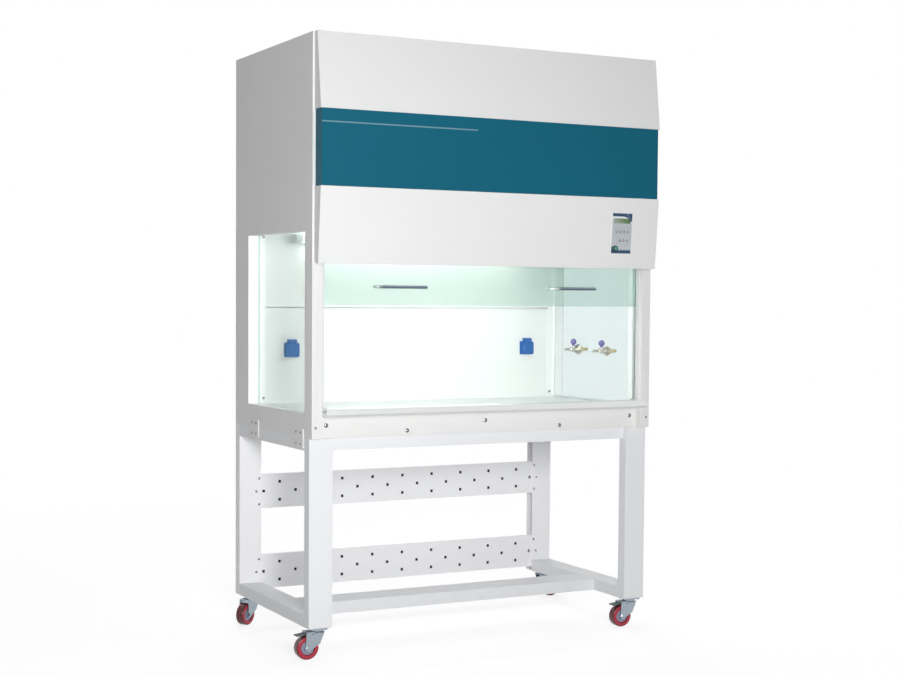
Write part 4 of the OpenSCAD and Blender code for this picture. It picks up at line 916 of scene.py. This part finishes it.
# %% Screw heads
TURN_STEP = 37
copies = []
for number, (head, at, axis) in enumerate(places):
    copy = bpy.data.objects.new("screw", shapes[head].data.copy())
    spin = Matrix.Rotation(math.radians(TURN_STEP * number), 4, "Z")
    copy.data.transform(pose_matrix(at, axis) @ spin)
    bpy.context.scene.collection.objects.link(copy)
    copies.append(copy)
for shape in shapes.values():
    bpy.data.objects.remove(shape)
screw_heads = joined(copies)
finished(screw_heads, "screw_heads", screw_steel)
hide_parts("screws")
print("screws:", len(screw_heads.data.polygons), "faces")

# %% [markdown]
# ## Trims round the side glass
# The photograph shows the rear corner angles as one bright strip each, next to the glass. The
# CAD's angles clamp the glass with a leg 50 mm wide, which would stand dark behind the pane.
# These trims have a leg 28 mm wide on the rear wall, a narrow one on the glass, and rounded
# folds.

# %% Window trims
CAD_SIDE_LEG, CAD_REAR_LEG = 0.050, 0.035
SIDE_LEG, REAR_LEG_CUT = 0.010, 0.007
FOLD_R = 0.0003
cad_trims = nodes["window_trims"].data
rear = max(v.co.y for v in cad_trims.vertices)
leg_front = rear - CAD_SIDE_LEG
leg_end = max(abs(v.co.x) for v in cad_trims.vertices) - CAD_REAR_LEG
slim = bpy.data.objects.new("slim", cad_trims.copy())
bpy.context.scene.collection.objects.link(slim)
moved = 0
for v in slim.data.vertices:
    if abs(v.co.y - leg_front) < 1e-4:
        v.co.y = rear - SIDE_LEG
        moved += 1
    elif abs(abs(v.co.x) - leg_end) < 1e-4:
        v.co.x = math.copysign(leg_end + REAR_LEG_CUT, v.co.x)
        moved += 1
alone(slim)
bpy.ops.object.mode_set(mode="EDIT")
bpy.ops.mesh.select_all(action="SELECT")
bpy.ops.mesh.remove_doubles(threshold=MERGE)
bpy.ops.mesh.dissolve_limited(angle_limit=math.radians(1))
bpy.ops.mesh.normals_make_consistent(inside=False)
bpy.ops.object.mode_set(mode="OBJECT")
folds = slim.modifiers.new("folds", "BEVEL")
folds.width = FOLD_R
folds.segments = 2
folds.limit_method = "ANGLE"
folds.angle_limit = math.radians(60)
finished(slim, "slim_trims", trim_white)
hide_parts("window_trims")
print("trims:", moved, "corners moved,", len(slim.data.polygons), "faces")

# %% [markdown]
# ## Gas tap knobs
# The CAD's knobs are plain cones with a round top. These are round balls on a short stem, with
# six shallow grips, so that a quarter turn can be seen. A profile is spun, then each corner is
# drawn in by a wave of its own angle.

# %% Tap knobs
KNOB_STEM_R, KNOB_INSET, KNOB_FLAT = 0.0045, 0.0001, 0.97
KNOB_LOW_ANGLE, KNOB_STEPS = -64, 13
GRIPS, GRIP_DEPTH = 6, 0.04
for name, body in (("tap_knob_front", "knob_front"), ("tap_knob_rear", "knob_rear")):
    low, high = (Vector(c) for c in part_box(name))
    ball = (high.x - low.x) / 2 - KNOB_INSET
    middle_z = high.z - ball * KNOB_FLAT
    profile = [(0, low.z), (KNOB_STEM_R, low.z), (KNOB_STEM_R, middle_z - ball * 0.90)]
    for step in range(1, KNOB_STEPS):
        angle = math.radians(KNOB_LOW_ANGLE + step * (90 - KNOB_LOW_ANGLE) / KNOB_STEPS)
        across, up = ball * math.cos(angle), ball * KNOB_FLAT * math.sin(angle)
        profile.append((across, middle_z + up))
    profile.append((0, middle_z + ball * KNOB_FLAT))
    knob = spun("knob", profile, 48)
    for v in knob.data.vertices:
        if v.co.z > middle_z - ball * 0.8:
            wave = math.cos(GRIPS * math.atan2(v.co.y, v.co.x))
            grip = 1 - GRIP_DEPTH * (1 - wave)
            v.co.x, v.co.y = v.co.x * grip, v.co.y * grip
    middle = Vector(((low.x + high.x) / 2, (low.y + high.y) / 2, 0))
    knob.data.transform(Matrix.Translation(middle))
    finished(knob, "round_" + body, knob_violet, body)
    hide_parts(name)
    print(name, len(knob.data.polygons), "faces")

# %% [markdown]
# ## The display
# A slim glass lies in the keypad's recess, a little domed so that it takes a highlight. A painted
# sheen lightens its green towards the left, and a dark strip closes it at the right, where the
# segments end.

# %% Display
DISPLAY_SIZE, DISPLAY_AT = (0.0652, 0.0162, 0.0011), (0, 0.042, 0.00165)
LCD_GREEN, LCD_PAINTED_SHEEN, LCD_DARK = (0.10, 0.21, 0.07), (0.34, 0.38, 0.33), (0.015, 0.03, 0.02)
lcd_green = Finish("lcd_green", LCD_GREEN, 0.14)
across, up = pad_place(lcd_green)
# A painted sheen lightens the green towards the left.
lcd_painted_sheen = ((14.0 - across - (up - 42) * 1.2) / 40).clamped()
green = lcd_green.tinted(0.12, lcd_green.noise(300.0))
green = lcd_green.blend(lcd_painted_sheen * 0.75, green, LCD_PAINTED_SHEEN)
lcd_green.set("Base Color", lcd_green.blend(across > 27.5, green, LCD_DARK))
lcd_green.set("Roughness", lcd_green.noise(40.0) * 0.06 + 0.10)
display = block("display", DISPLAY_SIZE, DISPLAY_AT)
rounded(display, 0.0004, 3)
lean = Matrix((
    (1, 0, 0, 0), (0, -math.sin(PAD_LEAN), -math.cos(PAD_LEAN), 0),
    (0, math.cos(PAD_LEAN), -math.sin(PAD_LEAN), 0), (0, 0, 0, 1)))
display.data.transform(Matrix.Translation(Vector((PAD_X, PAD_Y, PAD_Z))) @ lean)
finished(display, "display_glass", lcd_green)
print("display", [round(v, 4) for v in display.data.vertices[0].co])

# %% [markdown]
# ## Mains inlet
# The CAD leaves the inlet empty. It gets its three blades.

# %% Inlet blades
BLADE_SIZE, BLADE_BEHIND = (0.0022, 0.0062, 0.015), 0.0115
BLADE_PLACES = ((-0.007, -0.002), (0, 0.002), (0.007, -0.002))
low, high = (Vector(c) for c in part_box("power_inlet"))
middle = (low + high) / 2
backwards = Matrix.Rotation(math.radians(90), 4, "X")
blades = []
for x, z in BLADE_PLACES:
    blade = block("blade", BLADE_SIZE, (0, 0, 0))
    rounded(blade, 0.0005, 2)
    at = Vector((middle.x + x, high.y - BLADE_BEHIND, middle.z + z))
    blade.data.transform(Matrix.Translation(at) @ backwards)
    blades.append(blade)
finished(joined(blades), "inlet_blades", screw_steel)
print(len(blades), "blades in the inlet")
